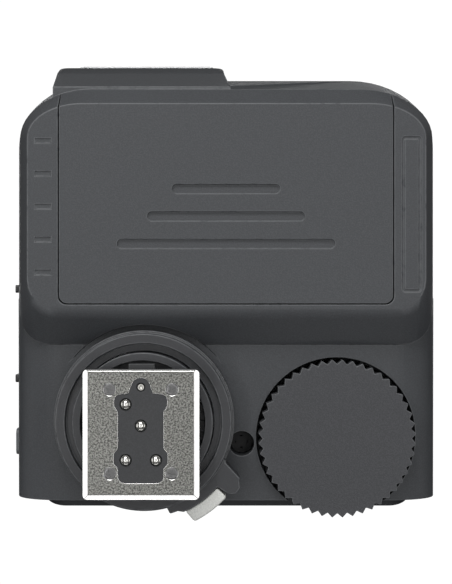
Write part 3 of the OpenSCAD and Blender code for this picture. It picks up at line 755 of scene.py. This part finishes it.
CELL_FRONT = Banded("cell_jacket_front", (58, 118, 78), 0.3, grain=3000.0, relief=0.05, wear_and_sheen=0.0, band_x=0.0)
CELL_REAR = Banded(
    "cell_jacket_rear", (58, 118, 78), 0.3, grain=3000.0, relief=0.05, wear_and_sheen=0.0, band_x=-27.0, towards_right=False
)
FLOOR = Finish("studio_floor", (236, 236, 236), 0.9, grain=60.0, relief=0.02, fleck=0.0, mottle=0.01, wear_and_sheen=0.0)


# ---------- assemblies ----------


@dataclass
class Assembly:
    """A group of pieces that belong together."""

    nodes: Dict[str, Piece]
    body: str = "case"

    def fit(self, piece: Piece, finish: Finish, slot: str, stands_for: str = "", body: str = "") -> Piece:
        """Gives a modelled piece its finish and puts it on its body.

        Args:
            piece: the finished piece.
            finish: what it is made of.
            slot: the record's material slot; not used.
            stands_for: the part that it takes the place of.
            body: the body it rides on, if not the assembly's own.

        Returns:
            The same piece.
        """
        if not piece.data.materials:
            piece.data.materials.append(finish.material())
        else:
            piece.data.materials[0] = finish.material()
        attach(piece, body or self.body)
        if stands_for:
            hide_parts(stands_for)
        log.info("%s: %d faces, %s, on %s", piece.name, len(piece.data.polygons), finish.name, body or self.body)
        return piece

    def dress(self, node: str, finish: Finish) -> None:
        """Gives a part that stays as it is its finish."""
        for place in self.nodes[node].material_slots:
            place.material = finish.material()
        log.info("%s: kept, %s", node, finish.name)

    def shell(self, node: str, name: str, width: float, angle: float = 34.0) -> Piece:
        """Copies a part's mesh as a piece with softly rounded edges.

        Args:
            node: the part to copy.
            name: the piece's name.
            width: how wide the rounding is.
            angle: edges sharper than this are rounded, in degrees.

        Returns:
            The new piece.
        """
        piece = Bench.from_part(name, self.nodes[node])
        piece.data.materials.clear()
        Bench.soften(piece, width, 2, angle)
        Bench.hold_within(piece, *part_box(node))
        return piece


@dataclass
class Case(Assembly):
    """Lower and upper mouldings of the case and the battery door."""

    edge: float = 0.16
    door_edge: float = 0.14
    ledge_y: float = 55.05
    ledge_z: float = 10.9
    ledge_step: float = 0.35

    def on_ledge(self, p: Vector) -> bool:
        """True for a corner of the narrow ledge under the lamp's housing, which is widened to take a rounding."""
        return p.y > self.ledge_y and p.z < self.ledge_z

    def build(self) -> None:
        """Makes the two mouldings and the door."""
        lower = Bench.from_part("case_lower_moulding", self.nodes["lower_case"])
        lower.data.materials.clear()
        Bench.pick_points(lower, self.on_ledge)
        bpy.ops.transform.translate(value=(0, self.ledge_step * MM, 0))
        bpy.ops.object.mode_set(mode="OBJECT")
        Bench.soften(lower, self.edge, 2, 40)
        Bench.hold_within(lower, *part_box("lower_case"))
        self.fit(lower, CASE_PLASTIC, "case_plastic", "lower_case")
        upper = self.shell("upper_case", "case_upper_moulding", self.edge, 40)
        self.fit(upper, UPPER_PLASTIC, "upper_plastic", "upper_case")
        door = self.shell("battery_door", "battery_door_moulding", self.door_edge, 40)
        self.fit(door, DOOR_PLASTIC, "case_plastic", "battery_door", "door")
        # The case screws are painted near-black as the shade in their wells.
        self.dress("case_screws", SCREW_WELL_SHADE)


@dataclass
class Batteries(Assembly):
    """Tray, cells, contact plates and springs behind the door."""

    radius: float = 7.1
    button: float = 2.7

    def build(self) -> None:
        """Makes the cells and dresses the tray and its contacts."""
        self.dress("battery_tray", BLACK_PLASTIC)
        self.dress("battery_contacts", SPRING_STEEL)
        self.dress("battery_springs", SPRING_STEEL)
        for node, name, finish, way in (
            ("battery_front", "cell_front_turned", CELL_FRONT, 1),
            ("battery_rear", "cell_rear_turned", CELL_REAR, -1),
        ):
            self.fit(self.cell(node, name, way), finish, "cell_jacket", node)

    def cell(self, node: str, name: str, way: int) -> Piece:
        """Turns a cell with a crimped neck and a button, and lays it along X where its part is.

        Args:
            node: the part it stands for.
            name: the piece's name.
            way: 1 with its button to the right, -1 to the left.

        Returns:
            The cell.
        """
        low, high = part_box(node)
        half, r = (high.x - low.x) / MM / 2, self.radius
        top = half - 1.2
        profile = [
            (5.6, -half), (6.6, -half), (r, -half + 0.5), (r, top - 0.9), (r - 0.25, top - 0.6), (r - 0.1, top - 0.35),
            (6.2, top), (self.button + 0.2, top), (self.button, top + 0.15), (self.button, half - 0.25),
            (self.button - 0.3, half),
        ]  # fmt: skip
        piece = Bench.turned(name, profile, 72)
        Bench.soften(piece, 0.0)
        centre = (low + high) / 2
        Bench.place(piece, Matrix.Translation(centre) @ turn(90 * way, "Y"))
        return piece


@dataclass
class Foot(Assembly):
    """Shoe foot with its insulator, neck, screws, contact pins and lock pin."""

    pin_r: float = 0.92
    screw_r: float = 1.0
    cross: float = 0.6
    cross_w: float = 0.13

    def build(self) -> None:
        """Makes every piece of the foot."""
        plate = self.shell("foot_plate", "foot_plate_stamped", 0.07, 30)
        plate.data.materials.append(FOOT_BLAST.material())
        plate.data.materials.append(FOOT_POLISH.material())
        for face in plate.data.polygons:
            face.material_index = 0 if abs(face.normal.z) > 0.97 else 1
        self.fit(plate, FOOT_BLAST, "foot_steel", "foot_plate")
        insert = self.shell("foot_insert", "foot_insert_moulded", 0.08)
        self.fit(insert, INSERT_PLASTIC, "black_plastic", "foot_insert")
        neck = self.shell("foot_neck", "foot_neck_moulded", 0.12, 40)
        self.fit(neck, BLACK_PLASTIC, "black_plastic", "foot_neck")
        self.screws()
        for place in ("centre", "front", "rear_right", "rear_left"):
            node = f"contact_pin_{place}"
            pin = self.pin(node, f"contact_{place}_domed")
            self.fit(pin, PIN_NICKEL, "pin_nickel", node, f"pin_{place}")
        self.lock_pin()
        self.dress("foot_bracket", SPRING_STEEL)
        self.dress("contact_springs", SPRING_STEEL)

    def pin(self, node: str, name: str) -> Piece:
        """Turns a contact pin with a domed tip and a shoulder, where its part is."""
        low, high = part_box(node)
        top, r = high.z / MM, self.pin_r
        dome = [(r * math.sin(math.radians(a)), 0.45 - r * math.cos(math.radians(a))) for a in range(4, 90, 9)]
        piece = Bench.turned(name, dome + [(r, 3.2), (1.28, 3.2), (1.28, 3.8), (r, 3.8), (r, top)], 40)
        Bench.soften(piece, 0.0)
        Bench.place(piece, shift((low.x + high.x) / 2 / MM, (low.y + high.y) / 2 / MM))
        return piece

    def lock_pin(self) -> None:
        """Turns the lock pin, with a dimple in its end."""
        low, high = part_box("lock_pin")
        z = low.z / MM
        profile = [(0.1, z + 0.25), (0.24, z + 0.2), (0.34, z), (0.5, z), (0.63, z + 0.3), (0.65, high.z / MM)]
        piece = Bench.turned("lock_pin_turned", profile, 32)
        Bench.soften(piece, 0.0)
        Bench.place(piece, shift((low.x + high.x) / 2 / MM, (low.y + high.y) / 2 / MM))
        self.fit(piece, PIN_NICKEL, "pin_nickel", "lock_pin", "lock_pin")

    def screws(self) -> None:
        """Makes one countersunk cross screw and copies it to the four corners."""
        low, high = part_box("foot_screws")
        x, front, rear = high.x / MM - self.screw_r, high.y / MM - self.screw_r, low.y / MM + self.screw_r
        bottom = low.z / MM
        profile = [(0.86, bottom), (0.97, bottom + 0.05), (self.screw_r, bottom + 0.1), (0.48, 0.62), (0.48, 5.8)]
        screw = Bench.turned("screw", profile, 32)
        half, wide = self.cross, self.cross_w
        for size in ((half, wide), (wide, half)):
            slot = Bench.block("slot", (-size[0], -size[1], -1), (size[0], size[1], bottom + 0.26))
            Bench.combine(screw, slot, Cut.AWAY)
        Bench.soften(screw, 0.0)
        places = [(x, front, 20), (-x, front, 55), (x - 0.05, rear, 75), (-x + 0.05, rear, 10)]
        made = [shift(px, py) @ turn(angle, "Z") for px, py, angle in places]
        self.fit(Bench.repeat(screw, made, "foot_screws_cross"), SCREW_STEEL, "screw_steel", "foot_screws")


@dataclass
class Clamp(Assembly):
    """Clamp collar, lock ring with its lever and pale cap, and the clip that holds them."""

    body: str = "lock_ring"
    ribs: int = 9
    rib_in: float = 7.4
    rib_out: float = 10.4
    rib_z: float = 5.9
    floor_z: float = 6.9

    def build(self) -> None:
        """Makes the collar with its ribs, the ring and the cap."""
        collar = self.shell("clamp_collar", "clamp_collar_ribbed", 0.18)
        rib = Bench.block("rib", (self.rib_in, -0.14, self.rib_z), (self.rib_out, 0.14, self.floor_z))
        Bench.bevel_edges(rib, lambda a, b: max(a.z, b.z) < self.floor_z - 0.1, 0.08, 2)
        step = 66.0 / (self.ribs - 1)
        made = [turn(side + step * i - 33, "Z") for side in (0, 180) for i in range(self.ribs)]
        ribs = Bench.repeat(rib, made, "collar_ribs")
        Bench.soften(ribs, 0.0)
        collar = Bench.join([collar, ribs], "clamp_collar_ribbed")
        self.fit(collar, RING_PLASTIC, "black_plastic", "clamp_collar", "collar")
        ring = self.shell("lock_ring", "lock_ring_moulded", 0.2)
        self.fit(ring, RING_PLASTIC, "black_plastic", "lock_ring")
        cap = self.shell("lever_cap", "lever_cap_moulded", 0.35, 40)
        self.fit(cap, LEVER_CAP, "lever_grey", "lever_cap")
        self.dress("ring_clip", SPRING_STEEL)


@dataclass
class Dial(Assembly):
    """Toothed thumb dial and its shaft."""

    body: str = "dial"
    teeth: int = 48
    valley: float = 0.75
    shaft: float = 1.5

    def build(self) -> None:
        """Makes the dial from a cylinder, with every other rim corner pulled in."""
        low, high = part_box("select_dial")
        centre, radius = (low + high) / 2 / MM, (high.x - low.x) / MM / 2
        tall = (high.z - low.z) / MM
        Bench.clear()
        bpy.ops.mesh.primitive_cylinder_add(vertices=self.teeth * 2, radius=radius * MM, depth=tall * MM)
        dial = bpy.context.object
        dial.name = "thumb_dial_toothed"
        pitch = 180.0 / self.teeth

        def in_valley(p: Vector) -> bool:
            """True for a corner that stands between two teeth."""
            return round(math.degrees(math.atan2(p.y, p.x)) / pitch) % 2 == 0

        Bench.pick_points(dial, in_valley)
        share = (radius - self.valley) / radius
        bpy.ops.transform.resize(value=(share, share, 1), center_override=(0, 0, 0))
        bpy.ops.object.mode_set(mode="OBJECT")
        hub = Bench.turned("hub", [(self.shaft, -tall / 2 + 2), (self.shaft, tall)], 32)
        Bench.combine(dial, hub, Cut.AWAY)
        Bench.soften(dial, 0.1, 2, 50)
        Bench.place(dial, shift(*centre))
        self.fit(dial, DIAL_RUBBER, "dial_rubber", "select_dial")
        self.dress("dial_shaft", SPRING_STEEL)
        Assembly(self.nodes).dress("dial_encoder", CHIP_EPOXY)


@dataclass
class SideControls(Assembly):
    """Two slide knobs and the test key on the user's right side."""

    flange: float = 0.7
    groove: float = 0.22

    def build(self) -> None:
        """Makes the two knobs and the key."""
        for node, name, body in (
            ("power_switch", "power_knob_ribbed", "power_knob"),
            ("lamp_switch", "lamp_knob_ribbed", "lamp_knob"),
        ):
            self.fit(self.knob(node, name), SWITCH_PLASTIC, "switch_plastic", node, body)
        self.fit(self.key(), TEST_PLASTIC, "switch_plastic", "test_button", "test_key")

    def knob(self, node: str, name: str) -> Piece:
        """Makes a slide knob with a flange behind the wall and grip ridges across its end.

        Args:
            node: the part it stands for.
            name: the piece's name.

        Returns:
            The knob.
        """
        low, high = (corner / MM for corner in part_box(node))
        y, z = low.y + 3.2, (low.z + high.z) / 2
        flange = Bench.block("flange", (low.x, low.y, low.z), (low.x + self.flange, high.y, high.z))
        Bench.bevel_edges(flange, lambda a, b: abs(a.x - b.x) > 0.1, 0.5)
        knob = Bench.block(name, (low.x + self.flange - 0.1, y - 0.7, z - 2.2), (high.x, y + 0.7, z + 2.2))
        Bench.bevel_edges(knob, lambda a, b: abs(a.x - b.x) > 0.1, 0.4)
        for i in range(-2, 3):
            at = z + 0.75 * i
            start = (high.x - 0.3, y - 1, at - self.groove / 2)
            tool = Bench.block("groove", start, (high.x + 1, y + 1, at + self.groove / 2))
            Bench.combine(knob, tool, Cut.AWAY)
        Bench.combine(knob, flange, Cut.JOIN)
        Bench.soften(knob, 0.06)
        return knob

    def key(self) -> Piece:
        """Makes the test key with a shallow dish in its face."""
        low, high = (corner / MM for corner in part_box("test_button"))
        y, z = (low.y + high.y) / 2, (low.z + high.z) / 2
        flange = Bench.block("flange", (low.x, low.y, low.z), (low.x + self.flange, high.y, high.z))
        key = Bench.block("test_key_dished", (low.x + self.flange - 0.1, y - 2.3, z - 3), (high.x, y + 2.3, z + 3))
        for piece in (flange, key):
            Bench.bevel_edges(piece, lambda a, b: abs(a.x - b.x) > 0.1, 0.9, 5)
        Bench.sink(key, lambda c, n: n.x > 0.9 and c.x > high.x - 0.01, 0.55, Vector((-0.18, 0, 0)))
        Bench.combine(key, flange, Cut.JOIN)
        Bench.soften(key, 0.12)
        return key


@dataclass
class Panel(Assembly):
    """Sloping control panel with its display, keys and status light."""

    lean: float = 65.0
    base_y: float = -13.9
    base_z: float = 20.3
    face: float = 2.4
    key_x: Tuple[float, ...] = (-29.3, -18.9, -8.5, 1.9)
    key_y: float = 5.2
    key_w: float = 7.4
    key_h: float = 3.2
    key_top: float = 3.1
    round_r: float = 2.6
    round_top: float = 3.25
    light: Tuple[float, float] = (-40.3, 20.8)
    screen: Tuple[float, float, float, float] = (-34.7, 7.3, 9.6, 24.0)

    def on_panel(self) -> Matrix:
        """The panel's own frame: X across, Y up the slope, Z outwards."""
        return shift(0, self.base_y, self.base_z) @ turn(self.lean, "X")

    def build(self) -> None:
        """Makes the panel plate, its keys, light and display."""
        plate = self.shell("control_panel", "control_panel_plate", 0.14)
        self.fit(plate, PANEL_PLASTIC, "panel_plastic", "control_panel")
        self.dress("button_membrane", MEMBRANE)
        for i, x in enumerate(self.key_x, 1):
            key = self.function_key(f"function_key_{i}_cap", i, x)
            self.fit(key, KEY_RUBBER, "button_rubber", f"function_button_{i}", f"function_key_{i}")
        for name, place in (
            ("menu", (12.9, 20.8)), ("mode", (12.9, 13.4)), ("set", (12.9, 6.0)),
            ("group", (-40.3, 13.4)), ("channel", (-40.3, 6.0)),
        ):  # fmt: skip
            key = self.round_key(f"{name}_key_cap", name, place)
            self.fit(key, KEY_RUBBER, "button_rubber", f"{name}_button", f"{name}_key")
        self.status_light()
        self.display()

    def function_key(self, name: str, count: int, x: float) -> Piece:
        """Makes a long key with a dished face and one to four raised dots.

        Args:
            name: the piece's name.
            count: how many dots it carries.
            x: its place across the panel.

        Returns:
            The key, on the panel.
        """
        w, h, top = self.key_w / 2, self.key_h / 2, self.key_top
        flange = Bench.block("flange", (-w - 0.6, -h - 0.6, -0.7), (w + 0.6, h + 0.6, -0.1))
        key = Bench.block(name, (-w, -h, -0.2), (w, h, top))
        for piece in (flange, key):
            Bench.bevel_edges(piece, lambda a, b: abs(a.z - b.z) > 0.1, 0.98, 5)
        Bench.sink(key, lambda c, n: n.z > 0.9 and c.z > top - 0.01, 0.5, Vector((0, 0, -0.16)))
        Bench.combine(key, flange, Cut.JOIN)
        Bench.soften(key, 0.14)
        dot = Bench.turned("dot", [(0.26, top - 0.3), (0.26, top - 0.06), (0.18, top - 0.02)], 20)
        Bench.soften(dot, 0.0)
        dots = Bench.repeat(dot, [shift(0.85 * (i - (count - 1) / 2)) for i in range(count)], "dots")
        return self.marked(key, dots, shift(x, self.key_y))

    def round_key(self, name: str, kind: str, place: Tuple[float, float]) -> Piece:
        """Makes a round key with a soft crown and a plain raised mark.

        Args:
            name: the piece's name.
            kind: which key it is, for its mark.
            place: its place on the panel.

        Returns:
            The key, on the panel.
        """
        r, top = self.round_r, self.round_top
        profile = [
            (r + 0.5, -0.7), (r + 0.5, -0.1), (r, -0.1), (r, top - 0.45), (r - 0.08, top - 0.22), (r - 0.25, top - 0.08),
            (r - 0.5, top), (r - 0.85, top), (r - 1.1, top - 0.06), (r - 1.7, top - 0.12), (0.3, top - 0.14),
        ]  # fmt: skip
        key = Bench.turned(name, profile, 56)
        Bench.soften(key, 0.0)
        low, high = top - 0.3, top - 0.03
        bars = {
            "menu": [(-0.8, 0.45, 0.8, 0.65), (-0.8, -0.1, 0.8, 0.1), (-0.8, -0.65, 0.8, -0.45)],
            "mode": [(-0.75, -0.75, -0.1, 0.75), (0.1, -0.75, 0.75, 0.75)],
            "set": [(-0.55, -0.55, 0.55, 0.55)],
            "group": [(-0.8, -0.5, -0.5, 0.5), (-0.15, -0.5, 0.15, 0.5), (0.5, -0.5, 0.8, 0.5)],
            "channel": [(-0.8, -0.1, 0.8, 0.1), (-0.1, -0.8, 0.1, 0.8)],
        }[kind]
        made = [Bench.block("bar", (x0, y0, low), (x1, y1, high)) for x0, y0, x1, y1 in bars]
        mark = Bench.join(made, "mark")
        Bench.soften(mark, 0.04)
        return self.marked(key, mark, shift(*place))

    def marked(self, key: Piece, mark: Piece, at: Matrix) -> Piece:
        """Joins a pale mark to a key and sets the key on the panel.

        Args:
            key: the key.
            mark: its raised mark.
            at: its place on the panel.

        Returns:
            The key with two finishes.
        """
        key.data.materials.append(KEY_RUBBER.material())
        mark.data.materials.append(KEY_MARK.material())
        key = Bench.join([key, mark], key.name)
        Bench.place(key, self.on_panel() @ at)
        return key

    def status_light(self) -> None:
        """Turns the light pipe with a domed end."""
        r = 0.85
        dome = [(r, 2.75), (0.78, 2.92), (0.6, 3.03), (0.3, 3.09), (0.06, 3.1)]
        pipe = Bench.turned("status_light_pipe", [(1.45, -0.6), (1.5, -0.5), (1.5, 0), (r, 0)] + dome, 40)
        Bench.soften(pipe, 0.0)
        Bench.place(pipe, self.on_panel() @ shift(*self.light))
        self.fit(pipe, LIGHT_PIPE, "light_pipe", "status_light")

    def display(self) -> None:
        """Makes the window, and the display with its rows of bars."""
        x0, x1, y0, y1 = self.screen
        start = (x0 - 0.9, y0 - 0.9, self.face - 0.9)
        window = Bench.block("display_window_pane", start, (x1 + 0.9, y1 + 0.9, 2.3))
        Bench.bevel_edges(window, lambda a, b: abs(a.z - b.z) > 0.1, 1.5, 6)
        Bench.soften(window, 0.12)
        Bench.place(window, self.on_panel())
        self.fit(window, WINDOW, "clear_window", "display_window")
        self.dress("display_module", LCD_FACE)
        rows: List[Piece] = []
        for row in range(4):
            y = y1 - 2.7 - 2.7 * row
            rows.append(Bench.block("key", (x0 + 2, y - 0.7, 0.78), (x0 + 4.2, y + 0.7, 0.84)))
            for i in range(9 - 2 * row):
                x = x0 + 6.4 + 2.5 * i
                rows.append(Bench.block("bar", (x, y - 0.6 + 0.08 * row, 0.78), (x + 1.7, y + 0.6, 0.84)))
        for i in range(5):
            x = x1 - 9 + 1.5 * i
            rows.append(Bench.block("level", (x, y0 + 3, 0.78), (x + 0.9, y0 + 4.2 + 1.3 * i, 0.84)))
        rows.append(Bench.block("rule", (x0 + 1.8, y0 + 1.9, 0.78), (x1 - 1.8, y0 + 2.1, 0.84)))
        bars = Bench.join(rows, "display_bars")
        Bench.soften(bars, 0.0)
        Bench.place(bars, self.on_panel())
        self.fit(bars, LCD_INK, "lcd")


@dataclass
class Lamp(Assembly):
    """Focus-assist lamp behind the lens of the snout."""

    flange_r: float = 3.0
    bulb_r: float = 2.5

    def build(self) -> None:
        """Makes the ribbed lens and the lamp."""
        lens = self.shell("lamp_lens", "lamp_lens_ribbed", 0.3, 40)
        low, high = (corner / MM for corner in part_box("lamp_lens"))
        rib = Bench.block("rib", (-0.12, high.y - 1.55, low.z + 1.2), (0.12, high.y - 1.3, high.z - 1.2))
        count = 16
        step = (high.x - low.x - 3) / (count - 1)
        made = [shift(low.x + 1.5 + step * i) for i in range(count)]
        ribs = Bench.repeat(rib, made, "ribs")
        Bench.soften(ribs, 0.0)
        lens = Bench.join([lens, ribs], "lamp_lens_ribbed")
        self.fit(lens, LENS, "clear_window", "lamp_lens")
        low, high = (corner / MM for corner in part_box("lamp_led"))
        tall, r = high.y - low.y, self.bulb_r
        dome = [(r * math.cos(math.radians(a)), tall - r + r * math.sin(math.radians(a))) for a in range(0, 88, 11)]
        profile = [(self.flange_r - 0.2, 0), (self.flange_r, 0.2), (self.flange_r, 1.2), (r, 1.2)]
        bulb = Bench.turned("lamp_bulb_domed", profile + dome, 48)
        Bench.soften(bulb, 0.0)
        Bench.place(bulb, shift((low.x + high.x) / 2, low.y, (low.z + high.z) / 2) @ turn(-90, "X"))
        self.fit(bulb, LAMP_RED, "lamp_red", "lamp_led")


@dataclass
class Ports(Assembly):
    """USB socket and sync jack on the user's left side."""

    def build(self) -> None:
        """Makes the socket's shell and the jack's ring."""
        socket = self.shell("usb_socket", "usb_socket_drawn", 0.07)
        self.fit(socket, SHIELD_TIN, "spring_steel", "usb_socket")
        jack = self.shell("sync_jack", "sync_jack_ringed", 0.12)
        self.fit(jack, BLACK_PLASTIC, "black_plastic", "sync_jack")


@dataclass
class TopShoe(Assembly):
    """Accessory shoe on the roof: rails, base, contacts and screws."""

    def build(self) -> None:
        """Makes the rails, base, contacts and screws."""
        rails = self.shell("shoe_rails", "shoe_rails_folded", 0.18)
        self.fit(rails, SHOE_METAL, "foot_steel", "shoe_rails")
        base = self.shell("shoe_base", "shoe_base_moulded", 0.08)
        self.fit(base, INSERT_PLASTIC, "black_plastic", "shoe_base")
        contacts = self.shell("shoe_contacts", "shoe_contacts_gilt", 0.1)
        self.fit(contacts, GOLD_CONTACT, "brass_contact", "shoe_contacts")
        screws = self.shell("shoe_screws", "shoe_screws_flush", 0.05)
        self.fit(screws, SCREW_STEEL, "screw_steel", "shoe_screws")


@dataclass
class Electronics(Assembly):
    """Board and what stands on it, out of sight in the case."""

    def build(self) -> None:
        """Dresses the board and its parts."""
        for node, finish in (
            ("main_board", BOARD_MASK),
            ("board_parts", CHIP_EPOXY),
            ("radio_module", SHIELD_TIN),
            ("antenna", COPPER),
            ("beeper", BLACK_PLASTIC),
        ):
            self.dress(node, finish)


# ---------- studio ----------


@dataclass(frozen=True)
class Softbox:
    """One square or oblong studio light, aimed at a point of the object."""

    name: str
    place: Point
    size: Tuple[float, float]
    power: float
    aim: Point = (-13.5, 20.0, 15.0)
    tint: Tuple[float, float, float] = (1.0, 1.0, 1.0)

    def light(self) -> None:
        """Puts the light up."""
        data = bpy.data.lights.new(self.name, "AREA")
        data.shape, data.size, data.size_y = "RECTANGLE", self.size[0] * MM, self.size[1] * MM
        data.energy, data.color = self.power, self.tint
        lamp = bpy.data.objects.new(self.name, data)
        bpy.context.scene.collection.objects.link(lamp)
        place, aim = Vector(self.place) * MM, Vector(self.aim) * MM
        lamp.location = place
        lamp.rotation_euler = (aim - place).to_track_quat("-Z", "Y").to_euler()


@dataclass
class Studio:
    """Pale floor, soft lights, white surroundings and the camera under the foot."""

    floor_z: float = -450.0
    floor_half: float = 3000.0
    camera_at: Point = (-13.5, 21.2, -200.0)
    lens: float = 77.9
    sensor: float = 36.0
    backdrop: float = 1.05
    around: float = 0.3
    rear_grey: Tuple[float, float, float, float] = (0.05, 0.05, 0.055, 1.0)
    front_grey: Tuple[float, float, float, float] = (0.75, 0.75, 0.74, 1.0)

    def build(self) -> None:
        """Sets the floor, the lights, the surroundings and the camera."""
        half, z = self.floor_half, self.floor_z
        floor = Bench.block("studio_floor", (-half, -half, z - 20), (half, half, z))
        Bench.bevel_edges(floor, lambda a, b: True, 8)
        floor.data.materials.append(FLOOR.material())
        for box in (
            Softbox("key_front", (40, 370, -260), (320, 160), 1.3),
            Softbox("strip_left", (112, 10, -250), (240, 34), 0.13),
            Softbox("strip_right", (-139, 10, -250), (240, 34), 0.13),
            Softbox("strip_rear", (-13.5, -110, -270), (160, 30), 0.04),
            Softbox("rim_rear", (-13.5, -300, -25), (300, 50), 0.08, (0.0, 0.0, 0.0)),
            Softbox("rim_left", (300, -2, -50), (260, 80), 0.11, (0.0, 0.0, 0.0)),
            Softbox("rim_right", (-300, -2, -65), (260, 60), 0.08, (0.0, 0.0, 0.0)),
            Softbox("under", (-13, 90, -420), (240, 240), 0.12),
            Softbox("top", (-13, 40, 420), (400, 400), 1.6),
        ):
            box.light()
        self.surroundings()
        self.camera()
        bpy.context.scene.view_settings.view_transform = "Standard"

    def surroundings(self) -> None:
        """White behind the object, and a grey that is brighter in front for what lights it."""
        world = bpy.data.worlds.new("studio_white")
        bpy.context.scene.world = world
        world.use_nodes = True
        tree = world.node_tree
        backdrop, output = tree.nodes["Background"], tree.nodes["World Output"]
        backdrop.inputs["Color"].default_value = (1.0, 1.0, 1.0, 1.0)
        backdrop.inputs["Strength"].default_value = self.backdrop
        around = tree.nodes.new("ShaderNodeBackground")
        parts = tree.nodes.new("ShaderNodeSeparateXYZ")
        tree.links.new(tree.nodes.new("ShaderNodeTexCoord").outputs["Generated"], parts.inputs[0])
        front = Effects.ramp(tree, parts.outputs["Y"], -0.6, 0.8)
        shade = Finish.mix(tree, front, self.rear_grey, self.front_grey)
        tree.links.new(shade, around.inputs["Color"])
        around.inputs["Strength"].default_value = self.around
        seen = tree.nodes.new("ShaderNodeLightPath")
        both = tree.nodes.new("ShaderNodeMixShader")
        tree.links.new(seen.outputs["Is Camera Ray"], both.inputs[0])
        tree.links.new(around.outputs[0], both.inputs[1])
        tree.links.new(backdrop.outputs[0], both.inputs[2])
        tree.links.new(both.outputs[0], output.inputs["Surface"])

    def camera(self) -> None:
        """Puts the camera straight under the case, looking up, with the lens side at the top."""
        data = bpy.data.cameras.new("camera")
        data.lens, data.sensor_width = self.lens, self.sensor
        data.clip_start, data.clip_end = 0.005, 20
        camera = bpy.data.objects.new("camera", data)
        camera.location = Vector(self.camera_at) * MM
        camera.rotation_euler = (0, math.pi, 0)
        bpy.context.scene.collection.objects.link(camera)
        bpy.context.scene.camera = camera


def main() -> None:
    """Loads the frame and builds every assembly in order."""
    logging.basicConfig(level=logging.INFO, format="%(message)s")
    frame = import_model()
    nodes = frame["nodes"]
    for assembly in (
        Case(nodes),
        Batteries(nodes),
        Foot(nodes),
        Clamp(nodes),
        Dial(nodes),
        SideControls(nodes),
        Panel(nodes),
        Lamp(nodes),
        Ports(nodes),
        TopShoe(nodes),
        Electronics(nodes),
    ):
        log.info("building %s", type(assembly).__name__)
        assembly.build()
    Studio().build()
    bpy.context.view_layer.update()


if __name__ == "__main__":
    main()
